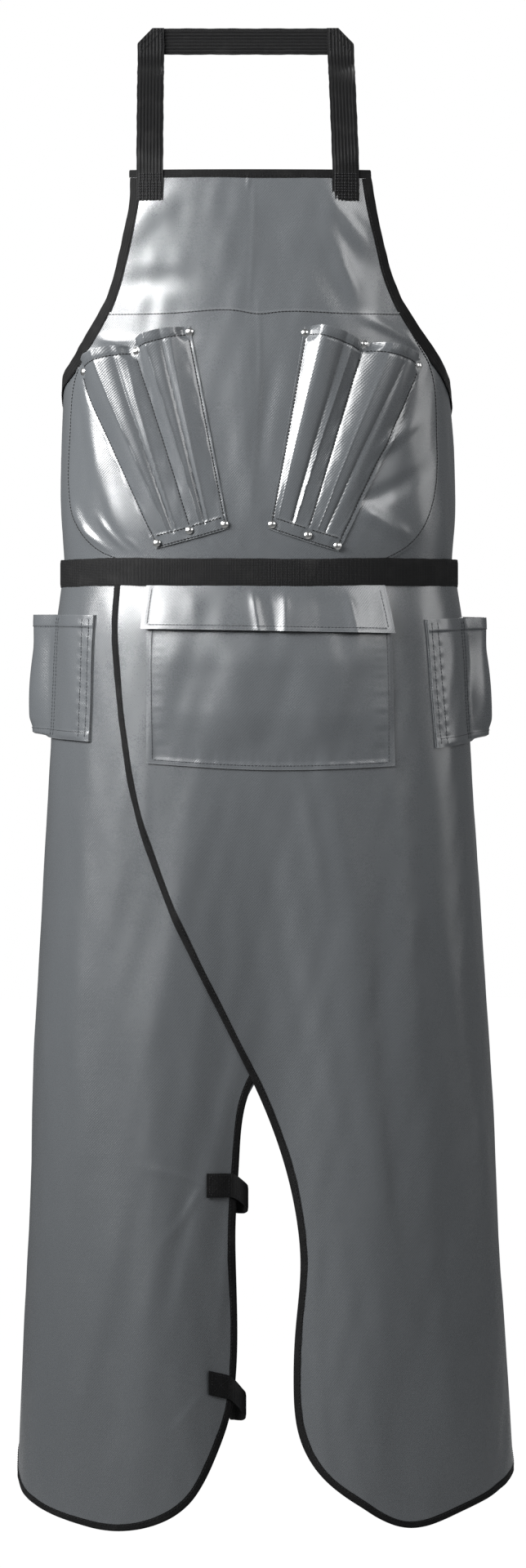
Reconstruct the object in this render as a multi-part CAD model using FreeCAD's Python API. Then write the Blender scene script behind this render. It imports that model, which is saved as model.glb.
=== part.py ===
"""Split-leg welding apron, shaped as it hangs when worn. Millimetres.

Origin: the centre of the wearer's waist, level with the middle of the belt.
+Z is up, the front of the apron faces -Y and +X is the reader's right.
Every cloth piece follows one smooth body form: a point on it has an angle round
the body (0 at the front, 90 at the +X side), a height z and a lift off the form.
"""
import FreeCAD, Part
import math
import os

os.makedirs("parts", exist_ok=True)
Vector = FreeCAD.Vector

# ---- body form ----
WAIST_HALF_WIDTH = 181.5
WAIST_HALF_DEPTH = 117.0
SKIRT_FLARE = 0.053        # half-width gained per mm below the waist
SKIRT_DEEPEN = 0.012       # half-depth gained per mm below the waist
CHEST_TAPER = 0.025        # half-width lost per mm above the waist
CHEST_SLOPE = 0.035        # half-depth lost per mm above the waist
WAIST_EASE = 60.0          # height over which the two slopes run together
SKIRT_LEAN = 0.0069        # sideways drift per mm below the waist
CHEST_LEAN = 0.000047      # sideways drift per square mm above the waist
ROUNDNESS = 2.4            # superellipse exponent of every section
VALLEY_DEPTH = 34.0        # dip between the legs at the hem
VALLEY_WIDTH = 55.0
VALLEY_START = -100.0
VALLEY_LENGTH = 700.0

# ---- cloth stack: lift of each layer's inner face ----
CLOTH = 1.0
POCKET_CLOTH = 0.8
WEBBING = 1.4
BIB_LIFT = 0.0
CHEST_PATCH_LIFT = 1.3
TOOL_POCKET_LIFT = 2.5
STRAP_END_LIFT = 1.7
LEFT_PANEL_LIFT = 1.85
RIGHT_PANEL_LIFT = 3.85
BELT_LIFT = 5.7
FRONT_POCKET_LIFT = 5.1
FLAP_LIFT = 6.4
LEG_STRAP_LIFT = 3.75
LEFT_POUCH_LIFT = 3.2
RIGHT_POUCH_LIFT = 5.05
POUCH_LAYER_GAP = 0.6

# ---- bindings ----
BINDING_SWELL = 0.35       # how far a binding stands off each face of its cloth
BINDING_GAP = 0.6          # clearance between a binding and the cloth it closes
TOP_BINDING_WIDTH = 7.5
BIB_BINDING_WIDTH = 10.0
LEG_BINDING_WIDTH = 6.5

# ---- bib ----
BIB_TOP = 368.6
BIB_BOTTOM = -9.0
SKIRT_TOP = 9.0
BACK_EDGE_ANGLE = 111.0

# ---- webbing and buckles ----
BELT_WIDTH = 25.0
LEG_STRAP_WIDTH = 22.0
BUCKLE_WIDTH = 34.0
BUCKLE_THICKNESS = 9.0
SOCKET_LENGTH = 30.0
BUCKLE_LENGTH = 50.0
BAR_WIDTH = 3.0
BAR_THICKNESS = 3.6
BAR_PLAY = 0.35            # room between a bar and the webbing loop round it
BAR_SIDE_PLAY = 1.6
SLOT_LENGTH = 3.6
SLOT_CLEARANCE = 1.2       # how much longer a slot is than its webbing is wide
CAVITY_WIDTH = 27.6
CAVITY_THICKNESS = 5.2
BACK_WALL = 2.5
BUCKLE_ROUNDING = 2.0
PLUG_GAP = 0.3             # between the mouth of the socket and the plug's shoulder
PRONG_THICKNESS = 4.6
GUIDE_START = 12.0
GUIDE_WIDTH = 5.0
WINDOW_SPAN = (14.0, 24.0)  # the side windows that the barbs spring into
ARM_OUTLINE = [(14.5, 9.0), (12.5, 10.5), (14.5, 13.4), (18.0, 13.4), (19.5, 12.0)]

# ---- rivets ----
RIVET_CAP_RADIUS = 3.5
RIVET_CAP_HEIGHT = 1.6
RIVET_SHANK_RADIUS = 1.2
RIVET_HOLE_RADIUS = 1.4
RIVET_BACK_RADIUS = 3.2
RIVET_BACK_THICKNESS = 0.9
RIVET_RIM = 0.3            # straight rim under the dome
RIVET_SEAT_GAP = 0.3
RIVET_SHANK_PROUD = 0.6    # shank left standing behind its washer
RIVET_HOLE_START = -3.0    # where a hole through the layers starts, behind the bib
RIVET_HOLE_LENGTH = 9.0
WASHER_BORE_GAP = 0.06
WASHER_CLOTH_GAP = 0.25

MM_PER_DEGREE = 2.5        # mean girth of one degree, for spacing points evenly
EDGE_COLUMNS = 4
END_SHARE = 0.3            # how far along the first span the extra point stands
DEGREE_STEP = 0.5


# ---------------------------------------------------------------- body form
def eased_slopes(z, below, above):
    """A line with one slope below the waist and another above, eased together."""
    bend = math.hypot(z, WAIST_EASE) - WAIST_EASE
    return (below + above) / 2 * z + (above - below) / 2 * bend


def half_width(z):
    return WAIST_HALF_WIDTH - eased_slopes(z, SKIRT_FLARE, CHEST_TAPER)


def half_depth(z):
    return WAIST_HALF_DEPTH - eased_slopes(z, SKIRT_DEEPEN, CHEST_SLOPE)


def centre_x(z):
    return -SKIRT_LEAN * z if z < 0 else -CHEST_LEAN * z * z


def valley(x, z):
    """How far the front dips back between the legs."""
    share = min(max((VALLEY_START - z) / VALLEY_LENGTH, 0.0), 1.0)
    ease = share * share * (3.0 - 2.0 * share)
    return VALLEY_DEPTH * ease * math.exp(-((x / VALLEY_WIDTH) ** 2))


def body_point(angle, z, lift):
    """The point at this angle and height, lifted off the body form."""
    sine = math.sin(math.radians(angle))
    cosine = math.cos(math.radians(angle))
    wide, deep = half_width(z) + lift, half_depth(z) + lift
    total = abs(sine / wide) ** ROUNDNESS + abs(cosine / deep) ** ROUNDNESS
    reach = total ** (-1.0 / ROUNDNESS)
    x, y = reach * sine, -reach * cosine
    if cosine > 0:
        y += valley(x, z)
    return Vector(centre_x(z) + x, y, z)


def front(x, z):
    """Angle and height of the front point that stands at x, z."""
    across = x - centre_x(z)
    share = min(abs(across) / half_width(z), 1.0)
    deep = half_depth(z) * (1.0 - share ** ROUNDNESS) ** (1.0 / ROUNDNESS)
    return (math.degrees(math.atan2(across, deep)), z)


def outward_normal(spot):
    """Unit normal of the body form at an (angle, z) spot."""
    angle, z = spot
    along = body_point(angle + DEGREE_STEP, z, 0) - body_point(angle - DEGREE_STEP, z, 0)
    up = body_point(angle, z + 1.0, 0) - body_point(angle, z - 1.0, 0)
    normal = along.cross(up)
    return normal.normalize()


# ---------------------------------------------------------------- curves and sheets
def smooth(points, count):
    """Evenly spaced (angle, z) points on a smooth curve through the given ones."""
    curve = Part.BSplineCurve()
    curve.interpolate([Vector(a * MM_PER_DEGREE, z, 0) for a, z in points])
    return [(p.x / MM_PER_DEGREE, p.y) for p in curve.discretize(Number=count)]


def inset(points, distance):
    """The same path moved sideways over the cloth, to the left of its travel."""
    moved = []
    for index, (angle, z) in enumerate(points):
        before = points[max(index - 1, 0)]
        after = points[min(index + 1, len(points) - 1)]
        step = body_point(angle + DEGREE_STEP, z, 0) - body_point(angle - DEGREE_STEP, z, 0)
        girth = step.Length / (2 * DEGREE_STEP)
        across = (after[0] - before[0]) * girth
        down = after[1] - before[1]
        length = math.hypot(across, down)
        moved.append((angle - down / length * distance / girth, z + across / length * distance))
    return moved


def thick_sheet(inner, outer):
    """A closed solid between two equal grids of points."""
    faces = []
    surfaces = []
    for grid in (inner, outer):
        surface = Part.BSplineSurface()
        surface.interpolate(grid)
        surfaces.append(surface)
        faces.append(surface.toShape())
    u0, u1, v0, v1 = surfaces[0].bounds()
    near, far = surfaces
    rims = [(near.uIso(u), far.uIso(u)) for u in (u0, u1)]
    rims += [(near.vIso(v), far.vIso(v)) for v in (v0, v1)]
    for low, high in rims:
        faces.append(Part.makeRuledSurface(low.toShape(), high.toShape()))
    shell = Part.makeShell(faces)
    shell.sewShape()
    solid = Part.Solid(shell)
    if solid.Volume < 0:
        solid.reverse()
    return solid


def sheet(grid, lift, thickness):
    """Cloth over a grid of (angle, z) spots; lift may be a number or f(u, v)."""
    columns, rows = len(grid), len(grid[0])

    def lifted(extra):
        points = []
        for i, column in enumerate(grid):
            line = []
            for j, (angle, z) in enumerate(column):
                here = lift(i / (columns - 1), j / (rows - 1)) if callable(lift) else lift
                line.append(body_point(angle, z, here + extra))
            points.append(line)
        return points

    return thick_sheet(lifted(0.0), lifted(thickness))


def blend_grid(top, bottom, left, right):
    """Fill four edges with a smooth grid; left and right run from top to bottom."""
    columns, rows = len(top), len(left)
    grid = []
    for i in range(columns):
        u = i / (columns - 1)
        column = []
        for j in range(rows):
            v = j / (rows - 1)
            spot = []
            for k in (0, 1):
                ruled = (1 - v) * top[i][k] + v * bottom[i][k]
                ruled += (1 - u) * left[j][k] + u * right[j][k]
                corners = (1 - u) * (1 - v) * top[0][k] + u * (1 - v) * top[-1][k]
                corners += (1 - u) * v * bottom[0][k] + u * v * bottom[-1][k]
                spot.append(ruled - corners)
            column.append(tuple(spot))
        grid.append(column)
    return grid


def four_corners(top_left, top_right, bottom_right, bottom_left, columns, rows):
    """A grid over a patch with four nearly straight sides."""
    top = smooth([top_left, top_right], columns)
    bottom = smooth([bottom_left, bottom_right], columns)
    left = smooth([top_left, bottom_left], rows)
    right = smooth([top_right, bottom_right], rows)
    return blend_grid(top, bottom, left, right)


def short_ends(path):
    """The path with one more point near each end, which keeps a strip true to the form there."""
    def near(end, following):
        return tuple(a + END_SHARE * (b - a) for a, b in zip(end, following))

    return [path[0], near(path[0], path[1])] + path[1:-1] + [near(path[-1], path[-2]), path[-1]]


def edge_strip(path, width, lift, thickness):
    """A flat tape that follows a path and reaches inwards by its width."""
    path = short_ends(path)
    lines = [inset(path, width * i / (EDGE_COLUMNS - 1)) for i in range(EDGE_COLUMNS)]
    return sheet(lines, lift, thickness)


def binding(path, width, cloth_lift):
    return edge_strip(path, width, cloth_lift - BINDING_SWELL, CLOTH + 2 * BINDING_SWELL)


# ---------------------------------------------------------------- outlines
def mirrored(points):
    return [(-angle, z) for angle, z in points]


def bib_left_edge():
    points = [front(-116.3, BIB_TOP), front(-117.8, 331), front(-128, 286), front(-143, 241)]
    points += [front(-158, 216), front(-170, 196), (-90, 178), (-101, 150), (-107, 105)]
    points += [(-BACK_EDGE_ANGLE + 1, 50), (-BACK_EDGE_ANGLE, BIB_BOTTOM)]
    return smooth(points, 40)


def bib_right_edge():
    points = [front(102, BIB_TOP), front(108.8, 331), front(119, 286), front(136.5, 241)]
    points += [front(153, 216), front(168, 194), (90, 167), (101, 143), (107, 102)]
    points += [(BACK_EDGE_ANGLE - 1, 50), (BACK_EDGE_ANGLE, BIB_BOTTOM)]
    return smooth(points, 40)


BACK_EDGE = [(-BACK_EDGE_ANGLE, SKIRT_TOP), (-BACK_EDGE_ANGLE, -300), (-BACK_EDGE_ANGLE, -600)]


def left_leg_edge():
    """Down the back edge, along the hem, up the inner edge to the hidden overlap."""
    points = list(BACK_EDGE)
    points += [(-110, -680), (-107, -742), (-100, -792), (-90, -824)]
    points += [front(-207, -852), front(-174, -868), front(-129, -877), front(-92, -871)]
    points += [front(-61, -851), front(-39, -812), front(-25, -770), front(-19, -719)]
    points += [front(-19, -660), front(-20, -599), front(-17, -540), front(-10, -483)]
    points += [front(8, -446), front(42, -404), front(82, -340), front(112, -260)]
    points += [front(131, -150), front(139, -60), front(140, SKIRT_TOP)]
    return smooth(points, 150)


def right_leg_edge():
    """Down the overlapping front edge, along the hem, up the back edge."""
    points = [front(-131, SKIRT_TOP), front(-130, -60), front(-123, -138), front(-107, -228)]
    points += [front(-75, -318), front(-33, -408), front(0, -477), front(22.5, -539)]
    points += [front(35, -599), front(37.5, -634), front(33, -695), front(31.5, -745)]
    points += [front(37.5, -794), front(56, -827), front(91.5, -855), front(136, -874)]
    points += [front(180, -861), front(213, -845), (90, -817), (100, -787), (107, -738)]
    points += [(110, -678)] + mirrored(BACK_EDGE)[::-1]
    return smooth(points, 150)


# ---------------------------------------------------------------- bib
def bib_panel():
    side_gap = BIB_BINDING_WIDTH + BINDING_GAP
    left = inset(bib_left_edge(), side_gap)
    right = inset(bib_right_edge(), -side_gap)
    top_z = BIB_TOP - TOP_BINDING_WIDTH - BINDING_GAP
    left = smooth([(left[0][0], top_z)] + [p for p in left if p[1] < top_z - 5], 34)
    right = smooth([(right[0][0], top_z)] + [p for p in right if p[1] < top_z - 5], 34)
    top = smooth([left[0], right[0]], 30)
    bottom = smooth([left[-1], right[-1]], 30)
    return sheet(blend_grid(top, bottom, left, right), BIB_LIFT, CLOTH)


def bib_top_binding():
    left, right = bib_left_edge()[0], bib_right_edge()[0]
    path = smooth([right, left], 16)
    return binding(path, TOP_BINDING_WIDTH, BIB_LIFT)


def bib_side_binding(path, side):
    """side is +1 for the left edge, whose cloth lies to the left of its travel."""
    top_z = BIB_TOP - TOP_BINDING_WIDTH - BINDING_GAP
    kept = [p for p in path if SKIRT_TOP + 4 < p[1] < top_z - 5]
    start, end = (path[0][0], top_z), (kept[-1][0], SKIRT_TOP + 1.5)
    return binding(smooth([start] + kept + [end], 40), side * BIB_BINDING_WIDTH, BIB_LIFT)


def chest_patch():
    top = smooth([front(-133, 236), front(128, 236)], 20)
    bottom = smooth([front(-124, 10.5), front(113, 10.5)], 20)
    left = [front(-133, 236), front(-147, 213), front(-160, 193), front(-168, 170)]
    left += [front(-171, 130), front(-171, 70), front(-163, 42), front(-146, 20), bottom[0]]
    right = [front(128, 236), front(142, 212), front(154, 193), front(160.5, 165)]
    right += [front(162, 125), front(161, 80), front(154, 50), front(138, 25), bottom[-1]]
    grid = blend_grid(top, bottom, smooth(left, 20), smooth(right, 20))
    return sheet(grid, CHEST_PATCH_LIFT, POCKET_CLOTH)


def two_tubes(height, margin):
    """Lift of a pocket with two open tubes side by side, closing to its foot."""
    def lift(u, v):
        side = u if u < 0.5 else 1.0 - u
        share = (side - margin) / (0.5 - 1.5 * margin)
        if share <= 0 or share >= 1:
            return TOOL_POCKET_LIFT
        return TOOL_POCKET_LIFT + height * math.sin(math.pi * share) ** 2 * (1.0 - v) ** 1.3
    return lift


TUBE_HEIGHT = 13.0
TUBE_MARGIN = 0.09
LEFT_TOOL_POCKET = [(-163.5, 187), (-57, 225), (-22.5, 37), (-97, 20.5)]
RIGHT_TOOL_POCKET = [(38.5, 225), (151, 192), (75.5, 19), (5.5, 37.5)]
LEFT_RIVETS = [(-158.0, 184.5), (-110.3, 202.4), (-62.2, 219.5)]
LEFT_RIVETS += [(-91.8, 26.4), (-62.4, 37.9), (-30.3, 43.4)]
RIGHT_RIVETS = [(42.8, 218.6), (96.7, 208.5), (145.5, 189.8)]
RIGHT_RIVETS += [(12.8, 43.2), (45.4, 33.4), (72.0, 23.7)]


def tool_pocket(corners):
    spots = [front(x, z) for x, z in corners]
    grid = four_corners(*spots, 33, 14)
    return sheet(grid, two_tubes(TUBE_HEIGHT, TUBE_MARGIN), POCKET_CLOTH)


def along_normal(spot, lift):
    return body_point(spot[0], spot[1], 0) + outward_normal(spot) * lift


def rivet(spot):
    """A domed cap with its shank, pushed through from the front."""
    seat = TOOL_POCKET_LIFT + POCKET_CLOTH + RIVET_SEAT_GAP
    foot = -RIVET_BACK_THICKNESS - RIVET_SHANK_PROUD
    rim, crown = seat + RIVET_RIM, seat + RIVET_CAP_HEIGHT
    axis = outward_normal(spot)
    shank_length = seat - foot + RIVET_RIM / 2
    shank = Part.makeCylinder(RIVET_SHANK_RADIUS, shank_length, along_normal(spot, foot), axis)
    height = crown - rim
    ball = (RIVET_CAP_RADIUS ** 2 + height ** 2) / (2 * height)
    dome = Part.makeSphere(ball, along_normal(spot, crown - ball))
    cap_length = RIVET_CAP_HEIGHT + RIVET_RIM
    cap = Part.makeCylinder(RIVET_CAP_RADIUS, cap_length, along_normal(spot, seat), axis)
    return cap.common(dome).fuse(shank)


def rivet_back(spot):
    """The washer that the shank is spread over inside the bib."""
    axis = outward_normal(spot)
    foot = along_normal(spot, -RIVET_BACK_THICKNESS - WASHER_CLOTH_GAP)
    disc = Part.makeCylinder(RIVET_BACK_RADIUS, RIVET_BACK_THICKNESS, foot, axis)
    bore = RIVET_SHANK_RADIUS + WASHER_BORE_GAP
    hole = Part.makeCylinder(bore, RIVET_BACK_THICKNESS, foot, axis)
    return disc.cut(hole)


def with_rivet_holes(cloth, places):
    for x, z in places:
        spot = front(x, z)
        start, axis = along_normal(spot, RIVET_HOLE_START), outward_normal(spot)
        hole = Part.makeCylinder(RIVET_HOLE_RADIUS, RIVET_HOLE_LENGTH, start, axis)
        cloth = cloth.cut(hole)
    return cloth


# ---------------------------------------------------------------- skirt
def leg_panel(edge, first_corner, last_corner, lift):
    """One leg: its outline is the bound edge, cut at the two lower corners."""
    line = inset(edge, LEG_BINDING_WIDTH + BINDING_GAP)
    rows, columns = 46, 30
    left = smooth(line[:first_corner + 1], rows)
    bottom = smooth(line[first_corner:last_corner + 1], columns)
    right = smooth(line[last_corner:][::-1], rows)
    top = smooth([left[0], right[0]], columns)
    return sheet(blend_grid(top, bottom, left, right), lift, CLOTH)


# corners in order: top left, top right, bottom right, bottom left
FRONT_POCKET_CORNERS = [(-97, -22), (116, -22), (119.5, -177.5), (-97, -175)]
FLAP_CORNERS = [(-99, -13.6), (112.5, -13.6), (115.5, -55.8), (-98.5, -52)]


def front_pocket():
    grid = four_corners(*[front(x, z) for x, z in FRONT_POCKET_CORNERS], 18, 12)
    return sheet(grid, FRONT_POCKET_LIFT, POCKET_CLOTH)


def pocket_flap():
    grid = four_corners(*[front(x, z) for x, z in FLAP_CORNERS], 18, 6)
    return sheet(grid, FLAP_LIFT, POCKET_CLOTH)


# ---------------------------------------------------------------- side pouches
POUCH_DIVIDER = 0.44       # share of the pouch's girth taken by the front tube
FRONT_TUBE_HEIGHT = 9.0
SIDE_TUBE_HEIGHT = 21.0
POUCH_MARGIN = 0.05


def pouch_lift(base):
    """Two tubes that stand off the hip, closing over the last part of their depth."""
    def lift(u, v):
        if u < POUCH_DIVIDER:
            share, height = u / POUCH_DIVIDER, FRONT_TUBE_HEIGHT
        else:
            share, height = (u - POUCH_DIVIDER) / (1.0 - POUCH_DIVIDER), SIDE_TUBE_HEIGHT
        share = (share - POUCH_MARGIN) / (1.0 - 2 * POUCH_MARGIN)
        if share <= 0 or share >= 1:
            return base
        return base + height * math.sin(math.pi * share) ** 2 * (1.0 - v ** 5)
    return lift


def pouch_grid(corners):
    return four_corners(*corners, 31, 14)


LEFT_POUCH = [front(-147, -39), (-101, -37), (-101, -147), front(-149.6, -155)]
RIGHT_POUCH = [front(149, -43), (101, -39), (101, -148), front(157.5, -161)]


def side_pouch_back(corners, lift):
    return sheet(pouch_grid(corners), lift, POCKET_CLOTH)


def side_pouch_front(corners, lift):
    base = lift + POCKET_CLOTH + POUCH_LAYER_GAP
    return sheet(pouch_grid(corners), pouch_lift(base), POCKET_CLOTH)


# ---------------------------------------------------------------- straps and buckles
def plan_band(points, thickness, width):
    """A webbing run that follows plan points (x, y), standing on edge round z = 0."""
    middle = Part.BSplineCurve()
    middle.interpolate([Vector(x, y, -width / 2) for x, y in points])
    sides = []
    for side in (-0.5, 0.5):
        line = []
        for index in range(60):
            place = middle.FirstParameter + index / 59.0 * (middle.LastParameter - middle.FirstParameter)
            ahead = middle.tangent(place)[0]
            line.append(middle.value(place) + Vector(-ahead.y, ahead.x, 0) * side * thickness)
        curve = Part.BSplineCurve()
        curve.interpolate(line)
        sides.append(curve.toShape())
    near, far = sides
    ends = [Part.makeLine(near.valueAt(near.FirstParameter), far.valueAt(far.FirstParameter))]
    ends.append(Part.makeLine(near.valueAt(near.LastParameter), far.valueAt(far.LastParameter)))
    wire = Part.Wire([near, ends[1], far, ends[0]])
    return Part.Face(wire).extrude(Vector(0, 0, width))


def oval(x, y, length, thickness, width):
    """A round-ended block along X, centred on x, y and standing round z = 0."""
    radius = thickness / 2
    reach = length / 2 - radius
    foot = Vector(x, y, -width / 2)
    block = Part.makeBox(2 * reach, thickness, width, foot - Vector(reach, radius, 0))
    for side in (-reach, reach):
        block = block.fuse(Part.makeCylinder(radius, width, foot + Vector(side, 0, 0)))
    return block.removeSplitter()


def bar_loop(bar_x, width):
    """The sewn loop of webbing round a buckle's bar."""
    length = BAR_WIDTH + 2 * BAR_PLAY + BAR_SIDE_PLAY
    thickness = BAR_THICKNESS + 2 * BAR_PLAY
    outer = oval(bar_x, 0, length + 2 * WEBBING, thickness + 2 * WEBBING, width)
    return outer.cut(oval(bar_x, 0, length, thickness, width))


def centred_box(x0, x1, thickness, width):
    return Part.makeBox(x1 - x0, thickness, width, Vector(x0, -thickness / 2, -width / 2))


def buckle_block(x0, x1, thickness):
    """A buckle half before its openings: a bar of material with rounded long edges."""
    block = centred_box(x0, x1, thickness, BUCKLE_WIDTH)
    edges = [e for e in block.Edges if abs(e.tangentAt(e.FirstParameter).x) > 0.9]
    return block.makeFillet(BUCKLE_ROUNDING, edges)


def with_bar(block, bar_start, slot_start, webbing_width):
    """Cut the slot for the webbing, and thin the bar so a loop of webbing passes round it."""
    opening = webbing_width + SLOT_CLEARANCE
    block = block.cut(centred_box(slot_start, slot_start + SLOT_LENGTH, BUCKLE_THICKNESS, opening))
    for low_y in (BAR_THICKNESS / 2, -BAR_THICKNESS / 2 - BUCKLE_THICKNESS):
        corner = Vector(bar_start, low_y, -opening / 2)
        block = block.cut(Part.makeBox(BAR_WIDTH, BUCKLE_THICKNESS, opening, corner))
    return block


def buckle_socket(webbing_width):
    """Bar and slot at x = 0, mouth at x = SOCKET_LENGTH."""
    body = buckle_block(0, SOCKET_LENGTH, BUCKLE_THICKNESS)
    body = with_bar(body, 0, BAR_WIDTH, webbing_width)
    cavity_start = BAR_WIDTH + SLOT_LENGTH + BACK_WALL
    body = body.cut(centred_box(cavity_start, SOCKET_LENGTH, CAVITY_THICKNESS, CAVITY_WIDTH))
    return body.cut(centred_box(*WINDOW_SPAN, PRONG_THICKNESS, BUCKLE_WIDTH))


def buckle_plug(webbing_width):
    """Guide and two arms inside the socket, slot and bar at the far end."""
    start = SOCKET_LENGTH + PLUG_GAP
    bar_start = BUCKLE_LENGTH - BAR_WIDTH
    body = buckle_block(start, BUCKLE_LENGTH, BUCKLE_THICKNESS - 1.0)
    body = with_bar(body, bar_start, bar_start - SLOT_LENGTH, webbing_width)
    root = start + 1.0
    body = body.fuse(centred_box(GUIDE_START, root, PRONG_THICKNESS, GUIDE_WIDTH))
    for side in (-1, 1):
        outline = [(root, 8.5)] + ARM_OUTLINE + [(root, 12.6), (root, 8.5)]
        wire = Part.makePolygon([Vector(x, -PRONG_THICKNESS / 2, side * z) for x, z in outline])
        body = body.fuse(Part.Face(wire).extrude(Vector(0, PRONG_THICKNESS, 0)))
    return body.removeSplitter()


def placed(shape, x, y, z, turned):
    """Put a buckle piece in place; turned makes its plug end point to -X."""
    moved = shape.copy()
    if turned:
        moved.rotate(Vector(0, 0, 0), Vector(0, 0, 1), 180)
    moved.translate(Vector(x, y, z))
    return moved


def belt_run(start_angle, end_angle, lift, count):
    lines = []
    for z in (-BELT_WIDTH / 2, -BELT_WIDTH / 6, BELT_WIDTH / 6, BELT_WIDTH / 2):
        span = end_angle - start_angle
        lines.append([(start_angle + span * i / (count - 1), z) for i in range(count)])
    return sheet(lines, lift, WEBBING)


WAIST_SOCKET_X = -BUCKLE_LENGTH / 2
BAR_MIDDLE = BAR_WIDTH / 2
WAIST_BUCKLE_Y = WAIST_HALF_DEPTH + BELT_LIFT + WEBBING / 2
BELT_START_ANGLE = -165.5
BELT_END_ANGLE = 118.0
TAIL_ANGLES = [154.0625, 148.125, 142.1875, 136.25, 130.3125, 124.375, 118.4375, 112.5]
TAIL_LIFT = BELT_LIFT + WEBBING + 0.6
BRIDGE_REACH = 9.0         # flat of webbing that joins the belt to its bar loop
BRIDGE_LENGTH = 8.0
BRIDGE_SINK = 0.1


def waist_belt():
    run = belt_run(BELT_START_ANGLE, BELT_END_ANGLE, BELT_LIFT, 60)
    loop = placed(bar_loop(BAR_MIDDLE, BELT_WIDTH), WAIST_SOCKET_X, WAIST_BUCKLE_Y, 0, False)
    corner = Vector(WAIST_SOCKET_X - BRIDGE_REACH, WAIST_BUCKLE_Y - WEBBING / 2, -BELT_WIDTH / 2)
    corner.y -= BRIDGE_SINK
    bridge = Part.makeBox(BRIDGE_LENGTH, WEBBING, BELT_WIDTH, corner)
    return run.fuse([loop, bridge]).removeSplitter()


def waist_strap():
    """The moving strap: from the plug round to the outside of the belt's sewn end."""
    points = [(-WAIST_SOCKET_X + 1.2, WAIST_BUCKLE_Y + 0.2)]
    for angle in TAIL_ANGLES:
        spot = body_point(angle, 0, TAIL_LIFT + WEBBING / 2)
        points.append((spot.x, spot.y))
    run = plan_band(points, WEBBING, BELT_WIDTH)
    loop = bar_loop(BUCKLE_LENGTH - BAR_MIDDLE, BELT_WIDTH)
    loop = placed(loop, WAIST_SOCKET_X, WAIST_BUCKLE_Y, 0, False)
    return run.fuse(loop).removeSplitter()


# one row per leg strap: side (-1 for the left leg), height, x of the sewn end, x of the fold
LEG_STRAPS = {
    "left_leg_upper": (-1, -561.0, -47.0, -9.5),
    "left_leg_lower": (-1, -745.0, -50.0, -11.5),
    "right_leg_upper": (1, -561.0, 68.0, 29.0),
    "right_leg_lower": (1, -745.0, 68.0, 25.0),
}
LEG_BUCKLE_X = 138.0       # middle of each leg buckle, out from the centre line
LEG_BUCKLE_Y = 92.0
INSIDE_STRAP_GAP = 1.6     # room between an inner strap and the binding it passes
TAB_GAP = 0.9              # room between a tab and the binding it is sewn through
LOOP_REACH = 2.6           # from a bar's middle to where its webbing run meets the loop


def leg_buckle_start(side, z):
    """x where the socket's bar end stands."""
    return centre_x(z) + side * (LEG_BUCKLE_X - BUCKLE_LENGTH / 2)


def leg_long_strap(name):
    """Left leg: from the outside of the panel over its edge. Right leg: from its inside."""
    side, z, sewn_x, fold_x = LEG_STRAPS[name]
    bar_x = leg_buckle_start(side, z) + side * BAR_MIDDLE
    middle = side * WEBBING / 2
    if side < 0:
        lift = LEG_STRAP_LIFT + WEBBING / 2
        points = []
        for share in (0.0, 0.25, 0.5, 0.75):
            x = sewn_x + share * (fold_x - 5.5 - sewn_x)
            points.append((x, body_point(front(x, z)[0], z, lift).y))
        edge_y = points[-1][1]
        points += [(fold_x - 3.0, edge_y + 0.9), (fold_x, edge_y + 4.4), (fold_x - 3.5, edge_y + 10.0)]
    else:
        lift = RIGHT_PANEL_LIFT - BINDING_SWELL - INSIDE_STRAP_GAP - WEBBING / 2
        points = []
        for share in (0.0, 0.3, 0.6, 0.9):
            x = sewn_x + share * (fold_x + 14.0 - sewn_x)
            points.append((x, body_point(front(x, z)[0], z, lift).y))
        edge_y = points[-1][1]
        points += [(fold_x + 6.0, edge_y + 5.5), (fold_x + 7.0, edge_y + 16.0)]
    points += [(side * 27.0, -50.0), (side * 36.0, -5.0), (side * 54.0, 45.0)]
    points += [(side * 80.0, 78.0), (bar_x - side * 9.0, LEG_BUCKLE_Y + 0.2)]
    points.append((bar_x - side * LOOP_REACH, LEG_BUCKLE_Y))
    run = plan_band(points, WEBBING, LEG_STRAP_WIDTH)
    loop = bar_loop(0, LEG_STRAP_WIDTH)
    loop.translate(Vector(bar_x, LEG_BUCKLE_Y, 0))
    strap = run.fuse(loop).removeSplitter()
    strap.translate(Vector(0, 0, z))
    return strap


def leg_short_strap(name):
    """From the plug's bar to the outside of the panel's back edge."""
    side, z = LEG_STRAPS[name][:2]
    bar_x = leg_buckle_start(side, z) + side * (BUCKLE_LENGTH - BAR_MIDDLE)
    panel_lift = LEFT_PANEL_LIFT if side < 0 else RIGHT_PANEL_LIFT
    lift = panel_lift + CLOTH + BINDING_SWELL + WEBBING / 2 + TAB_GAP
    points = [(bar_x + side * LOOP_REACH, LEG_BUCKLE_Y)]
    for angle in (114.0, 109.5, 105.0):
        spot = body_point(side * angle, z, lift)
        points.append((spot.x, spot.y))
    run = plan_band(points, WEBBING, LEG_STRAP_WIDTH)
    loop = bar_loop(0, LEG_STRAP_WIDTH)
    loop.translate(Vector(bar_x, LEG_BUCKLE_Y, 0))
    strap = run.fuse(loop).removeSplitter()
    strap.translate(Vector(0, 0, z))
    return strap


def leg_buckle_piece(maker, name):
    side, z = LEG_STRAPS[name][:2]
    return placed(maker(LEG_STRAP_WIDTH), leg_buckle_start(side, z), LEG_BUCKLE_Y, z, side < 0)


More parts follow.
